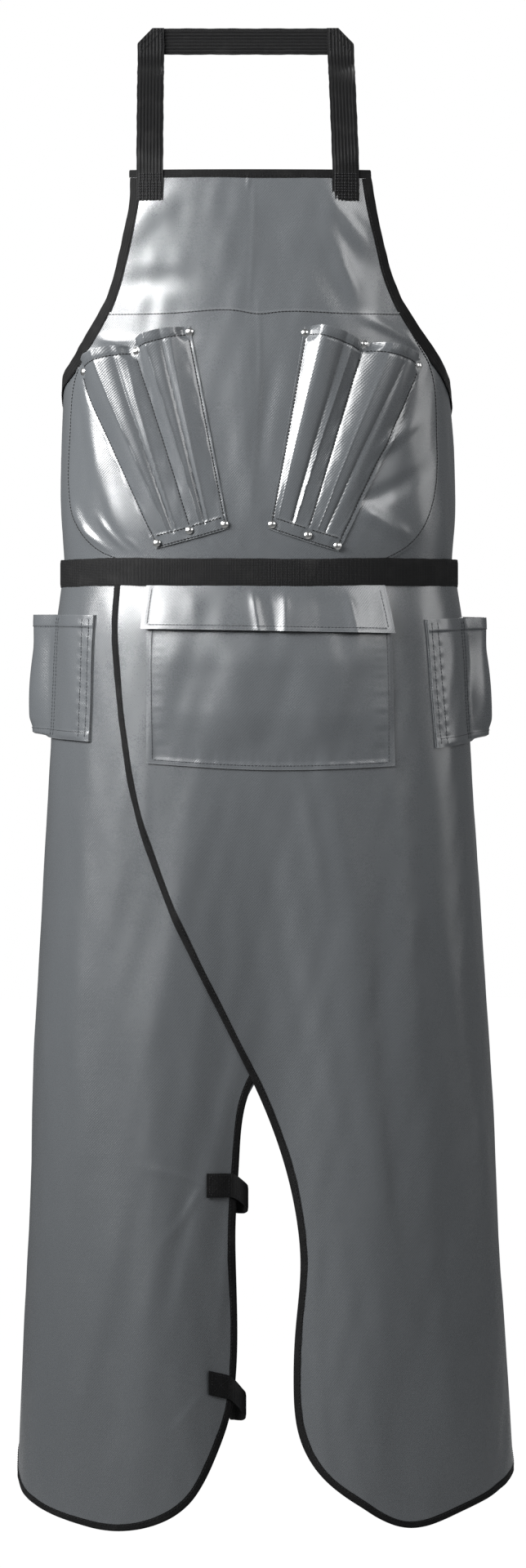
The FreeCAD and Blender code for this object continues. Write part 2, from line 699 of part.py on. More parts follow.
# ---------------------------------------------------------------- neck strap
LEFT_STRAP_X = (-111.2, -87.0)
RIGHT_STRAP_FOOT_X = (67.5, 93.0)
RIGHT_STRAP_HEAD_X = (63.6, 87.6)
NECK_LOW_Z = 480.0
NECK_TOP_Z = 505.0
NECK_Y = 20.0
RUN_OVERLAP = 3.0          # how far a side run climbs over its flat sewn end
NECK_OVERLAP = 0.5         # how far a side run is sewn into the back run
STRAP_FOOT_Z = 370.6
STRAP_END_TOP = 368.2
STRAP_END_BOTTOM = 340.5
CORNER_CHAMFER = 14.0


def strap_foot_y():
    return body_point(front(LEFT_STRAP_X[0] + 12, BIB_TOP)[0], BIB_TOP, STRAP_END_LIFT).y - WEBBING


def neck_side_run(foot_x, head_x):
    """One side of the loop, rising from the bib over the shoulder to its flat sewn end."""
    foot_y = strap_foot_y()
    end_y = NECK_Y - WEBBING / 2 + NECK_OVERLAP
    path = [(foot_y, STRAP_FOOT_Z), (foot_y + 21, 409), (foot_y + 55, 443), (foot_y + 88, 463)]
    path += [(NECK_Y - 7, 474), (end_y, NECK_LOW_Z + RUN_OVERLAP)]
    curve = Part.BSplineCurve()
    curve.interpolate([Vector(0, y, z) for y, z in path])
    grids = []
    for side in (-0.5, 0.5):
        grid = []
        for column in range(EDGE_COLUMNS):
            across = column / (EDGE_COLUMNS - 1)
            line = []
            for index in range(24):
                share = index / 23.0
                place = curve.FirstParameter + share * (curve.LastParameter - curve.FirstParameter)
                ahead = curve.tangent(place)[0]
                low = foot_x[0] + share * (head_x[0] - foot_x[0])
                high = foot_x[1] + share * (head_x[1] - foot_x[1])
                spot = curve.value(place) + Vector(0, -ahead.z, ahead.y) * side * WEBBING
                line.append(Vector(low + across * (high - low), spot.y, spot.z))
            grid.append(line)
        grids.append(grid)
    return thick_sheet(grids[0], grids[1])


def neck_strap():
    left_x, right_x = LEFT_STRAP_X[0] + 1.0, RIGHT_STRAP_HEAD_X[1] + 0.6
    outline = [(left_x, NECK_LOW_Z), (right_x, NECK_LOW_Z), (right_x, NECK_TOP_Z - CORNER_CHAMFER)]
    outline += [(right_x - CORNER_CHAMFER, NECK_TOP_Z), (left_x + CORNER_CHAMFER, NECK_TOP_Z)]
    outline += [(left_x, NECK_TOP_Z - CORNER_CHAMFER), (left_x, NECK_LOW_Z)]
    wire = Part.makePolygon([Vector(x, NECK_Y, z) for x, z in outline])
    strap = Part.Face(wire).extrude(Vector(0, WEBBING, 0))
    strap = strap.fuse(neck_side_run(LEFT_STRAP_X, LEFT_STRAP_X))
    strap = strap.fuse(neck_side_run(RIGHT_STRAP_FOOT_X, RIGHT_STRAP_HEAD_X))
    for x0, x1 in ((left_x, LEFT_STRAP_X[1]), (RIGHT_STRAP_HEAD_X[0], right_x)):
        corner = Vector(x0, NECK_Y - WEBBING + NECK_OVERLAP, NECK_LOW_Z)
        strap = strap.fuse(Part.makeBox(x1 - x0, WEBBING, NECK_TOP_Z - NECK_LOW_Z, corner))
    for x, turn in ((left_x - 3, 1), (right_x + 3, -1)):
        corner = [(x, NECK_TOP_Z + 3), (x + turn * (CORNER_CHAMFER + 6), NECK_TOP_Z + 3)]
        corner += [(x, NECK_TOP_Z - CORNER_CHAMFER - 3), (x, NECK_TOP_Z + 3)]
        wedge = Part.Face(Part.makePolygon([Vector(a, NECK_Y - 20, b) for a, b in corner]))
        strap = strap.cut(wedge.extrude(Vector(0, 40, 0)))
    return strap.removeSplitter()


def neck_strap_end(x_span):
    low, high = x_span
    grid = four_corners(front(low, STRAP_END_TOP), front(high, STRAP_END_TOP),
                        front(high, STRAP_END_BOTTOM), front(low, STRAP_END_BOTTOM), 6, 6)
    return sheet(grid, STRAP_END_LIFT, WEBBING)


# ---------------------------------------------------------------- assembly
def build():
    """Every node of the apron, by name."""
    all_rivets = LEFT_RIVETS + RIGHT_RIVETS
    left_edge, right_edge = left_leg_edge(), right_leg_edge()
    nodes = {
        "bib_panel": with_rivet_holes(bib_panel(), all_rivets),
        "bib_top_binding": bib_top_binding(),
        "bib_left_binding": bib_side_binding(bib_left_edge(), 1),
        "bib_right_binding": bib_side_binding(bib_right_edge(), -1),
        "chest_patch": with_rivet_holes(chest_patch(), all_rivets),
        "left_tool_pocket": with_rivet_holes(tool_pocket(LEFT_TOOL_POCKET), LEFT_RIVETS),
        "right_tool_pocket": with_rivet_holes(tool_pocket(RIGHT_TOOL_POCKET), RIGHT_RIVETS),
        "left_pocket_rivets": Part.makeCompound([rivet(front(x, z)) for x, z in LEFT_RIVETS]),
        "right_pocket_rivets": Part.makeCompound([rivet(front(x, z)) for x, z in RIGHT_RIVETS]),
        "left_rivet_washers": Part.makeCompound([rivet_back(front(x, z)) for x, z in LEFT_RIVETS]),
        "right_rivet_washers": Part.makeCompound([rivet_back(front(x, z)) for x, z in RIGHT_RIVETS]),
        "neck_strap": neck_strap(),
        "left_neck_strap_end": neck_strap_end(LEFT_STRAP_X),
        "right_neck_strap_end": neck_strap_end(RIGHT_STRAP_FOOT_X),
        "left_leg_panel": leg_panel(left_edge, 62, 92, LEFT_PANEL_LIFT),
        "right_leg_panel": leg_panel(right_edge, 60, 88, RIGHT_PANEL_LIFT),
        "left_leg_binding": binding(left_edge, LEG_BINDING_WIDTH, LEFT_PANEL_LIFT),
        "right_leg_binding": binding(right_edge, LEG_BINDING_WIDTH, RIGHT_PANEL_LIFT),
        "front_pocket": front_pocket(),
        "pocket_flap": pocket_flap(),
        "left_pouch_back": side_pouch_back(LEFT_POUCH, LEFT_POUCH_LIFT),
        "left_pouch_front": side_pouch_front(LEFT_POUCH, LEFT_POUCH_LIFT),
        "right_pouch_back": side_pouch_back(RIGHT_POUCH, RIGHT_POUCH_LIFT),
        "right_pouch_front": side_pouch_front(RIGHT_POUCH, RIGHT_POUCH_LIFT),
        "waist_belt": waist_belt(),
        "waist_buckle_socket": placed(buckle_socket(BELT_WIDTH), WAIST_SOCKET_X, WAIST_BUCKLE_Y, 0, False),
        "waist_buckle_plug": placed(buckle_plug(BELT_WIDTH), WAIST_SOCKET_X, WAIST_BUCKLE_Y, 0, False),
        "waist_adjuster_strap": waist_strap(),
    }
    for name in LEG_STRAPS:
        nodes[name + "_strap"] = leg_long_strap(name)
        nodes[name + "_socket"] = leg_buckle_piece(buckle_socket, name)
        nodes[name + "_plug"] = leg_buckle_piece(buckle_plug, name)
        nodes[name + "_tab"] = leg_short_strap(name)
    return nodes


for node, shape in build().items():
    if not shape.isValid():
        print("not valid:", node)
    shape.exportStep(os.path.join("parts", node + ".step"))
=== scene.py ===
"""The looks of the split-leg welding apron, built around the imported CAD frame.

Cloth, tape and webbing are modelled in millimetres on the same body form as the
frame: a spot has an angle round the body (0 at the front, 90 at the +X side), a
height z and a lift off the form. Meshes are turned into metres as they are made.
"""

import math

import bpy
import bmesh
import numpy as np
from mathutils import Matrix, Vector

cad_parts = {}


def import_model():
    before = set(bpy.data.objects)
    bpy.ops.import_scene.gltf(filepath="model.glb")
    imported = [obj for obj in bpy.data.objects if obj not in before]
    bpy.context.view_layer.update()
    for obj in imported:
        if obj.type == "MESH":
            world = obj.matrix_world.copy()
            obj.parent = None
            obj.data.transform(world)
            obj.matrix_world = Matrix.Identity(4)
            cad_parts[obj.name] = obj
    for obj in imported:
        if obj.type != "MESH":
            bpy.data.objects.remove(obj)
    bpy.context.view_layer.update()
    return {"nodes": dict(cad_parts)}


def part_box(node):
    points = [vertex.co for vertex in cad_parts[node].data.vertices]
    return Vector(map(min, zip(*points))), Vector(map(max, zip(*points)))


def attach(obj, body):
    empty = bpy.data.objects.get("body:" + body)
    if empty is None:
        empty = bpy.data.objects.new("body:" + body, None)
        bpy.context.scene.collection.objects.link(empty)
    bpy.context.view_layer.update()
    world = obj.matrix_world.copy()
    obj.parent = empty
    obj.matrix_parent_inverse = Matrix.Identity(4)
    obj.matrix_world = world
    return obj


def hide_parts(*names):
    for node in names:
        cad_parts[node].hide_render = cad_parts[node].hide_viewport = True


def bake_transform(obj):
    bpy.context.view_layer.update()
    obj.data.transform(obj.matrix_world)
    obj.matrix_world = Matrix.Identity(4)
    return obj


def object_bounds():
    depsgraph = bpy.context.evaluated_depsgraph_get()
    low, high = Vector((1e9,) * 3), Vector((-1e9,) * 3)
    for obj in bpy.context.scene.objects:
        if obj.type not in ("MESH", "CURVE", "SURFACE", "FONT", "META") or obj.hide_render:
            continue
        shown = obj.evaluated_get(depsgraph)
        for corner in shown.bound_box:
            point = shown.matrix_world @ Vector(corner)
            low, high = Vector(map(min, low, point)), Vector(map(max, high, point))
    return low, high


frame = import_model()
MM = 0.001


def box_mm(node):
    low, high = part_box(node)
    return np.array(low) / MM, np.array(high) / MM


# ---------------------------------------------------------------- sizes, mm
WEBBING = 1.4
CLOTH = 1.0
POCKET_CLOTH = 0.8
BELT_LIFT = 5.7
belt_low, belt_high = box_mm("waist_belt")
WAIST_HALF_WIDTH = (belt_high[0] - belt_low[0]) / 2 - BELT_LIFT - WEBBING
BELT_WIDTH = belt_high[2] - belt_low[2]
WAIST_HALF_DEPTH = -belt_low[1] - BELT_LIFT - WEBBING
BIB_TOP = box_mm("bib_top_binding")[1][2]
SKIRT_TOP = 9.0
BIB_BOTTOM = -9.0
BACK_EDGE_ANGLE = 111.0
SKIRT_FLARE, SKIRT_DEEPEN = 0.053, 0.012
CHEST_TAPER, CHEST_SLOPE = 0.025, 0.035
WAIST_EASE = 60.0
SKIRT_LEAN, CHEST_LEAN = 0.0069, 0.000047
ROUNDNESS = 2.4
VALLEY_DEPTH, VALLEY_WIDTH, VALLEY_START, VALLEY_LENGTH = 34.0, 55.0, -100.0, 700.0

BIB_LIFT = 0.0
CHEST_PATCH_LIFT = 1.3
TOOL_POCKET_LIFT = 2.5
STRAP_END_LIFT = 1.7
LEFT_PANEL_LIFT = 1.85
RIGHT_PANEL_LIFT = 3.85
FRONT_POCKET_LIFT = 5.1
FLAP_LIFT = 6.4
LEFT_POUCH_LIFT = 3.2
RIGHT_POUCH_LIFT = 5.05
POUCH_GAP = 0.6
LEG_STRAP_LIFT = 3.75
TOP_BINDING_WIDTH, BIB_BINDING_WIDTH, LEG_BINDING_WIDTH = 7.5, 10.0, 6.5
MM_PER_DEGREE = 2.5
SPOT_SCALE = np.array([MM_PER_DEGREE, 1.0])
# how far the belt draws the waist in, away from its buckle, and how far up and down that shows
BELT_PULL, PULL_REACH = 4.2, 34.0


# ---------------------------------------------------------------- body form
def eased_slopes(z, below, above):
    bend = np.hypot(z, WAIST_EASE) - WAIST_EASE
    return (below + above) / 2 * z + (above - below) / 2 * bend


def half_width(z):
    return WAIST_HALF_WIDTH - eased_slopes(z, SKIRT_FLARE, CHEST_TAPER)


def half_depth(z):
    return WAIST_HALF_DEPTH - eased_slopes(z, SKIRT_DEEPEN, CHEST_SLOPE)


def centre_x(z):
    return np.where(z < 0, -SKIRT_LEAN * z, -CHEST_LEAN * z * z)


def smoothstep(x, start, end):
    t = np.clip((x - start) / (end - start), 0.0, 1.0)
    return t * t * (3 - 2 * t)


def distances(path):
    """How far along a polyline each of its points stands."""
    return np.concatenate([[0], np.cumsum(np.linalg.norm(np.diff(path, axis=0), axis=1))])


def valley(x, z):
    ease = smoothstep(-z, -VALLEY_START, VALLEY_LENGTH - VALLEY_START)
    return VALLEY_DEPTH * ease * np.exp(-((x / VALLEY_WIDTH) ** 2))


def form(angle, z, lift):
    """Points on the bare body form, lifted off it."""
    angle, z, lift = np.broadcast_arrays(*[np.asarray(a, float) for a in (angle, z, lift)])
    sine, cosine = np.sin(np.radians(angle)), np.cos(np.radians(angle))
    wide, deep = half_width(z) + lift, half_depth(z) + lift
    total = np.abs(sine / wide) ** ROUNDNESS + np.abs(cosine / deep) ** ROUNDNESS
    reach = total ** (-1 / ROUNDNESS)
    x, y = reach * sine, -reach * cosine
    y = y + np.where(cosine > 0, valley(x, z), 0.0)
    return np.stack([centre_x(z) + x, y, z], axis=-1)


def front(x, z):
    """The (angle, z) spot at the front that stands at x, z."""
    across = x - float(centre_x(z))
    share = min(abs(across) / float(half_width(z)), 1.0)
    deep = float(half_depth(z)) * (1 - share ** ROUNDNESS) ** (1 / ROUNDNESS)
    return (math.degrees(math.atan2(across, deep)), z)


def fronts(*places):
    return [front(x, z) for x, z in places]


girth_angles = np.linspace(-180, 180, 721)
girth_table = distances(form(girth_angles, 0.0, 0.0))
girth_table -= np.interp(0, girth_angles, girth_table)


def girth(angle, z):
    """Distance round the body from the front, along the form."""
    return np.interp(angle, girth_angles, girth_table) * half_width(z) / WAIST_HALF_WIDTH


# ---------------------------------------------------------------- drape shared by every layer
LEFT_RIVETS = [(-158.0, 184.5), (-110.3, 202.4), (-62.2, 219.5)]
LEFT_RIVETS += [(-91.8, 26.4), (-62.4, 37.9), (-30.3, 43.4)]
RIGHT_RIVETS = [(42.8, 218.6), (96.7, 208.5), (145.5, 189.8)]
RIGHT_RIVETS += [(12.8, 43.2), (45.4, 33.4), (72.0, 23.7)]
rivet_spots = fronts(*LEFT_RIVETS, *RIGHT_RIVETS)

# one row per fold: x and z of both ends (girth mm), half-width and height of the ridge
FOLDS = [
    # bib
    (-2, 362, -3, 243, 3.0, 0.25), (-2, 366, -4, 352, 2.0, 0.6),
    (-128, 300, -70, 352, 16, 1.6), (-122, 262, -62, 268, 12, -1.2),
    (62, 352, 118, 296, 13, 2.0), (70, 330, 96, 250, 9, 1.3), (48, 300, 80, 246, 12, -1.1),
    (-60, 345, -20, 285, 22, 1.4), (10, 330, 42, 262, 20, -1.3),
    # chest patch, between and below the tool pockets
    (-172, 172, -150, 70, 11, 2.2), (-150, 120, -128, 34, 8, 1.5), (-190, 60, -150, 14, 7, 2.0),
    (-168, 40, -140, 15, 3.5, 1.4), (-150, 50, -120, 14, 3.5, 1.2), (-122, 30, -104, 10, 3, 1.0),
    (-44, 30, -22, 9, 3.0, 0.9), (-18, 28, -8, 12, 2.5, 0.9), (-2, 22, 8, 14, 3, 0.8),
    (30, 24, 60, 14, 3.5, 0.9), (96, 60, 140, 30, 8, 1.6), (110, 110, 155, 140, 8, 1.5),
    (88, 60, 160, 96, 9, -1.4), (-20, 200, 0, 60, 16, 1.6), (12, 190, 4, 80, 9, -1.1),
    (-2, 236, -2, 70, 2.6, 0.35), (104, 232, 160, 205, 6, 1.3), (-148, 214, -112, 208, 5, 1.4),
    (-176, 206, -150, 196, 5, 1.5),
    # left leg
    (-150, -180, -176, -560, 15, 1.7), (-60, -220, -106, -420, 17, 1.8),
    (-92, -400, -132, -760, 18, 1.9), (-40, -300, -56, -520, 13, -1.3),
    (-20, -420, -60, -640, 12, 1.3), (-70, -520, -92, -700, 11, -1.3),
    (-140, -560, -190, -800, 12, 1.3), (-170, -330, -226, -640, 16, 1.6),
    (-34, -560, -46, -700, 6, 0.8), (-60, -566, -96, -612, 5, 0.8), (-62, -560, -110, -545, 4, 0.6),
    (-62, -748, -104, -730, 4.5, 0.7), (-60, -752, -98, -790, 5, 0.7),
    (-118, -186, -148, -330, 9, 1.1), (-104, -182, -110, -260, 6, 0.8),
    # right leg
    (138, -190, 160, -520, 15, 1.6), (60, -190, 92, -470, 17, 1.6),
    (86, -440, 120, -760, 16, 1.6), (20, -260, 56, -520, 12, -1.2),
    (120, -300, 140, -640, 10, -1.2), (50, -560, 66, -820, 10, 1.1),
    (150, -520, 196, -790, 12, 1.2), (178, -280, 224, -600, 15, 1.5),
    (122, -184, 132, -262, 7, 0.9), (40, -184, 52, -300, 8, 0.9),
    # round the hips and back edges
    (-262, -200, -300, -560, 16, 1.5), (262, -200, 300, -560, 16, 1.5),
    (-300, 100, -270, 40, 12, 1.8), (300, 100, 270, 40, 12, 1.8),
    (-240, 150, -226, 50, 12, 1.6), (240, 140, 226, 40, 12, 1.6),
]

waves = np.random.default_rng(7)
WAVES = [(waves.uniform(55, 150), waves.uniform(260, 700) * waves.choice([-1, 1]),
          waves.uniform(0, 2 * math.pi), waves.uniform(0.3, 0.6)) for _ in range(9)]
RIPPLES = [(waves.uniform(16, 34), waves.uniform(60, 160) * waves.choice([-1, 1]),
            waves.uniform(0, 2 * math.pi), waves.uniform(0.02, 0.06)) for _ in range(10)]

def calm_near(angle, z, spots, start, end):
    """0 at each spot, rising to 1 between two distances from it."""
    calm = 1.0
    for spot_angle, spot_z in spots:
        distance = np.hypot((angle - spot_angle) * MM_PER_DEGREE, z - spot_z)
        calm = calm * smoothstep(distance, start, end)
    return calm


def cinch(angle, z):
    """How far the belt draws the cloth in; it isn't eased off round the rivets."""
    return BELT_PULL * np.exp(-(z / PULL_REACH) ** 2) * (1 - smoothstep(np.abs(angle), 104, 140))
def drape(angle, z):
    """How far the cloth stands off its CAD place, the same for every layer at a spot."""
    across = girth(angle, z)
    swell = np.zeros(np.broadcast(across, z).shape)
    for wide, tall, phase, size in WAVES:
        swell += size * np.sin(2 * math.pi * (across / wide + z / tall) + phase)
    swell *= np.where(z < 0, 0.3 + 0.3 * smoothstep(-z, 120, 600), 0.22)
    for wide, tall, phase, size in RIPPLES:
        swell += size * np.sin(2 * math.pi * (across / wide + z / tall) + phase)
    for x0, z0, x1, z1, wide, high in FOLDS:
        dx, dz = x1 - x0, z1 - z0
        length = math.hypot(dx, dz)
        along = ((across - x0) * dx + (z - z0) * dz) / length
        off = ((across - x0) * -dz + (z - z0) * dx) / length
        off = off + 0.035 * length * np.sin(along / length * 2.6 + x0)
        taper = smoothstep(along, -0.25 * length, 0.3 * length)
        taper = taper * smoothstep(-along, -1.25 * length, -0.7 * length)
        ridge = np.sqrt((off / wide) ** 2 + 0.04)
        swell += high * taper * np.exp(-1.6 * (ridge - 0.2) * np.maximum(ridge, 0.55))
    calm = smoothstep(np.abs(z), 13, 42) * calm_near(angle, z, rivet_spots, 4.5, 18)
    edge = 1 - smoothstep(np.abs(angle), 108, 113) * 0.5
    return swell * calm * edge - cinch(angle, z)

def draped(angle, z, lift):
    angle, z, lift = np.broadcast_arrays(*[np.asarray(a, float) for a in (angle, z, lift)])
    return form(angle, z, lift + drape(angle, z))


# ---------------------------------------------------------------- curves
def cubic(points):
    """A dense smooth curve through points of any dimension."""
    p = np.array(points, float)
    d = distances(p)
    h, n = np.diff(d), len(p)
    matrix, target = np.eye(n), np.zeros_like(p)
    for i in range(1, n - 1):
        matrix[i, i - 1:i + 2] = h[i - 1], 2 * (h[i - 1] + h[i]), h[i]
        target[i] = 6 * ((p[i + 1] - p[i]) / h[i] - (p[i] - p[i - 1]) / h[i - 1])
    bend = np.linalg.solve(matrix, target)
    t = np.linspace(0, d[-1], 40 * n)
    k = np.clip(np.searchsorted(d, t) - 1, 0, n - 2)
    b = ((t - d[k]) / h[k])[:, None]
    a, span = 1 - b, (h[k] ** 2)[:, None] / 6
    return a * p[k] + b * p[k + 1] + ((a ** 3 - a) * bend[k] + (b ** 3 - b) * bend[k + 1]) * span


def evenly(path, count):
    """count points at equal distances along a polyline."""
    path = np.asarray(path, float)
    d = distances(path)
    t = np.linspace(0, d[-1], count)
    return np.stack([np.interp(t, d, path[:, k]) for k in range(path.shape[1])], axis=1)


def evenly_spots(path, count):
    """The same for (angle, z) spots, with both measured in mm."""
    return evenly(path * SPOT_SCALE, count) / SPOT_SCALE


def smooth(points, count):
    """Evenly spaced (angle, z) spots on a smooth curve through the given ones."""
    return evenly(cubic(np.array(points, float) * SPOT_SCALE), count) / SPOT_SCALE


def inset(path, distance):
    """The same (angle, z) path moved over the cloth, to the left of its travel."""
    step = form(path[:, 0] + 0.5, path[:, 1], 0) - form(path[:, 0] - 0.5, path[:, 1], 0)
    per_degree = np.linalg.norm(step, axis=1)
    along = np.gradient(path, axis=0)
    across, down = along[:, 0] * per_degree, along[:, 1]
    length = np.hypot(across, down)
    return np.stack([path[:, 0] - down / length * distance / per_degree,
                     path[:, 1] + across / length * distance], axis=1)


def coons(top, bottom, left, right):
    """A grid of spots between four edges; left and right run from top to bottom."""
    u = np.linspace(0, 1, len(top))[:, None, None]
    v = np.linspace(0, 1, len(left))[None, :, None]
    grid = (1 - v) * top[:, None] + v * bottom[:, None]
    grid = grid + (1 - u) * left[None] + u * right[None]
    corners = (1 - u) * (1 - v) * top[0] + u * (1 - v) * top[-1]
    return grid - corners - (1 - u) * v * bottom[0] - u * v * bottom[-1]


def straight(start, end, count):
    return evenly(np.array([start, end], float), count)


def patch(corners, columns, rows):
    """A four-sided grid; corners run top left, top right, bottom right, bottom left."""
    tl, tr, br, bl = corners
    top, bottom = straight(tl, tr, columns), straight(bl, br, columns)
    return coons(top, bottom, straight(tl, bl, rows), straight(tr, br, rows))


def shares(columns, rows):
    """How far across and down each place of a grid is, from 0 to 1."""
    return np.linspace(0, 1, columns)[:, None], np.linspace(0, 1, rows)[None, :]


def mixed_at(grid, u, v):
    """Values of a grid at fractional places, mixed from the four round each."""
    n, m = grid.shape[:2]
    i, j = np.minimum(u.astype(int), n - 2), np.minimum(v.astype(int), m - 2)
    a, b = (u - i)[:, None], (v - j)[:, None]
    return ((1 - a) * (1 - b) * grid[i, j] + a * (1 - b) * grid[i + 1, j]
            + (1 - a) * b * grid[i, j + 1] + a * b * grid[i + 1, j + 1])


# ---------------------------------------------------------------- meshes
def new_object(name, verts, faces, uvs, material, sharp=50):
    mesh = bpy.data.meshes.new(name)
    mesh.from_pydata((np.asarray(verts) * MM).tolist(), [], faces)
    if uvs is not None:
        layer = mesh.uv_layers.new(name="cloth")
        corner = np.empty(len(mesh.loops), np.int32)
        mesh.loops.foreach_get("vertex_index", corner)
        layer.data.foreach_set("uv", (np.asarray(uvs)[corner] * MM).astype(np.float32).ravel())
    mesh.materials.append(material)
    shell = bmesh.new()
    shell.from_mesh(mesh)
    bmesh.ops.recalc_face_normals(shell, faces=shell.faces)
    shell.to_mesh(mesh)
    shell.free()
    mesh.shade_smooth()
    mesh.set_sharp_from_angle(angle=math.radians(sharp))
    thing = bpy.data.objects.new(name, mesh)
    bpy.context.scene.collection.objects.link(thing)
    return thing


def ring_faces(rings, sides):
    """Indices of the points on a row of equal rings, and the faces between the rings."""
    index = np.arange(rings * sides).reshape(rings, sides)
    after = np.roll(index, -1, 1)
    return index, np.stack([index[:-1], after[:-1], after[1:], index[1:]], -1).reshape(-1, 4)


class Shell:
    """Gathers closed forms into one mesh."""

    def __init__(self):
        self.verts, self.faces, self.uvs, self.count = [], [], [], 0

    def add(self, verts, faces, uvs=None):
        verts = np.asarray(verts, float).reshape(-1, 3)
        self.verts.append(verts)
        self.faces += (np.asarray(faces) + self.count).tolist() if len(faces) else []
        self.uvs.append(np.zeros((len(verts), 2)) if uvs is None else np.reshape(uvs, (-1, 2)))
        self.count += len(verts)

    def sheet(self, outer, inner, uv):
        """A closed sheet between two equal grids of points."""
        n, m = outer.shape[:2]
        index = np.arange(n * m).reshape(n, m)
        quad = np.stack([index[:-1, :-1], index[:-1, 1:], index[1:, 1:], index[1:, :-1]], -1)
        quad = quad.reshape(-1, 4)
        ring = np.concatenate([index[0, :-1], index[:-1, -1], index[-1, :0:-1], index[:0:-1, 0]])
        after = np.roll(ring, -1)
        rim = np.stack([ring, ring + n * m, after + n * m, after], -1)
        faces = np.concatenate([quad, quad[:, ::-1] + n * m, rim])
        self.add(np.concatenate([outer.reshape(-1, 3), inner.reshape(-1, 3)]), faces,
                 np.concatenate([uv.reshape(-1, 2)] * 2))

    def sweep(self, rings, uv):
        """A capped tube through equal rings of points."""
        index, quad = ring_faces(*rings.shape[:2])
        self.add(rings, quad, uv)
        start = self.count - index.size
        self.faces.append((index[0] + start)[::-1].tolist())
        self.faces.append((index[-1] + start).tolist())

    def build(self, name, material, sharp=50):
        verts, uvs = np.concatenate(self.verts), np.concatenate(self.uvs)
        return new_object(name, verts, self.faces, uvs, material, sharp)


def finish_piece(piece, body="apron", nodes=()):
    """Rides a finished piece on its body, and hides the CAD nodes it stands in for."""
    if nodes:
        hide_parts(*nodes)
    if body:
        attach(piece, body)
    return piece


def grid_normals(points):
    across, down = np.gradient(points, axis=0), np.gradient(points, axis=1)
    normal = np.cross(down, across)
    return normal / np.maximum(np.linalg.norm(normal, axis=-1, keepdims=True), 1e-9)


class Cloth:
    """A layer of cloth over a grid of spots, with a place to trace its seams."""

    def __init__(self, grid, lift, thickness, stand=None, shift=None, hem=None):
        """stand adds lift per spot; shift moves points in mm; hem thickens the front."""
        self.grid = grid
        angle, z = grid[..., 0], grid[..., 1]
        base = lift + (0.0 if stand is None else stand)
        swell = 0.0 if hem is None else hem
        self.inner = draped(angle, z, base)
        self.outer = draped(angle, z, base + thickness + swell)
        if shift is not None:
            self.inner, self.outer = self.inner + shift, self.outer + shift
        self.uv = np.stack([girth(angle, z), z], -1)
        self.normal = grid_normals(self.outer)
        self.normal *= np.sign(np.sum(self.normal * (self.outer - self.inner)))

    def at(self, u, v):
        """Points and normals on the front of the cloth along shares of its grid."""
        n, m = self.outer.shape[:2]
        u, v = np.broadcast_arrays(u, v)
        u, v = np.clip(u, 0, 1) * (n - 1), np.clip(v, 0, 1) * (m - 1)
        return mixed_at(self.outer, u, v), mixed_at(self.normal, u, v)

    def build(self, name, material, slot, body="apron", nodes=()):
        shell = Shell()
        shell.sheet(self.outer, self.inner, self.uv)
        return finish_piece(shell.build(name, material), body, nodes)


def on_layer(path, lift):
    """Points and outward normals over an (angle, z) path, at this lift."""
    path = np.asarray(path, float)
    angle, z = path[:, 0], path[:, 1]
    side = draped(angle + 0.4, z, lift) - draped(angle - 0.4, z, lift)
    up = draped(angle, z + 1.0, lift) - draped(angle, z - 1.0, lift)
    normal = np.cross(side, up)
    return draped(angle, z, lift), normal / np.linalg.norm(normal, axis=1, keepdims=True)


# ---------------------------------------------------------------- thread
STITCH_SHAPE = np.array([-0.45, 0.55, 0.8, 0.55, -0.45])
STITCH_WIDTHS = np.array([0.55, 0.95, 1.0, 0.95, 0.55])
STITCH_SIDES = 6


def stitch_rows(shell, lines, pitch=3.2, length=3.05, radius=0.34):
    """Short arched stitches along each (points, normals) line."""
    turn = np.linspace(0, 2 * math.pi, STITCH_SIDES, endpoint=False)
    for points, normals in lines:
        d = distances(points)
        count = int(d[-1] // pitch)
        if count < 1:
            continue
        starts = (d[-1] - count * pitch + pitch - length) / 2 + np.arange(count) * pitch
        place = starts[:, None] + np.linspace(0, length, len(STITCH_SHAPE))[None]
        spot = np.stack([np.interp(place, d, points[:, k]) for k in range(3)], -1)
        up = np.stack([np.interp(place, d, normals[:, k]) for k in range(3)], -1)
        up /= np.linalg.norm(up, axis=-1, keepdims=True)
        ahead = np.gradient(spot, axis=1)
        ahead /= np.linalg.norm(ahead, axis=-1, keepdims=True)
        side = np.cross(ahead, up)
        centre = spot + up * (STITCH_SHAPE * radius)[None, :, None]
        size = radius * STITCH_WIDTHS[None, :, None, None]
        ring = up[:, :, None] * np.cos(turn)[:, None] * 0.8 + side[:, :, None] * np.sin(turn)[:, None]
        index, quad = ring_faces(len(STITCH_SHAPE), STITCH_SIDES)
        offsets = np.arange(count)[:, None] * index.size
        along = np.stack([place, np.zeros_like(place)], -1)[:, :, None]
        start = shell.count
        shell.add(centre[:, :, None] + ring * size, (quad[None] + offsets[..., None]).reshape(-1, 4),
                  np.tile(along, (1, 1, STITCH_SIDES, 1)))
        for cap in (index[0][::-1], index[-1]):
            shell.faces += (cap[None] + offsets + start).tolist()


def thread(name, lines, material, slot, body="apron", **sizes):
    shell = Shell()
    stitch_rows(shell, lines, **sizes)
    return finish_piece(shell.build(name, material, 80), body)


# ---------------------------------------------------------------- materials
def fill(made, inputs):
    """Puts links and plain values into the inputs of a node."""
    for key, value in inputs.items():
        if isinstance(value, bpy.types.NodeSocket):
            made.id_data.links.new(value, made.inputs[key])
        else:
            made.inputs[key].default_value = value


def shader(name):
    material = bpy.data.materials.new(name)
    material.use_nodes = True
    tree = material.node_tree

    def node(kind, inputs, out=0, **settings):
        made = tree.nodes.new(kind)
        for key, value in settings.items():
            setattr(made, key, value)
        fill(made, inputs)
        return made.outputs[out]

    return material, tree.nodes["Principled BSDF"], node


def mix_colour(node, share, first, second):
    return node("ShaderNodeMix", {0: share, 6: first, 7: second}, 2, data_type="RGBA")


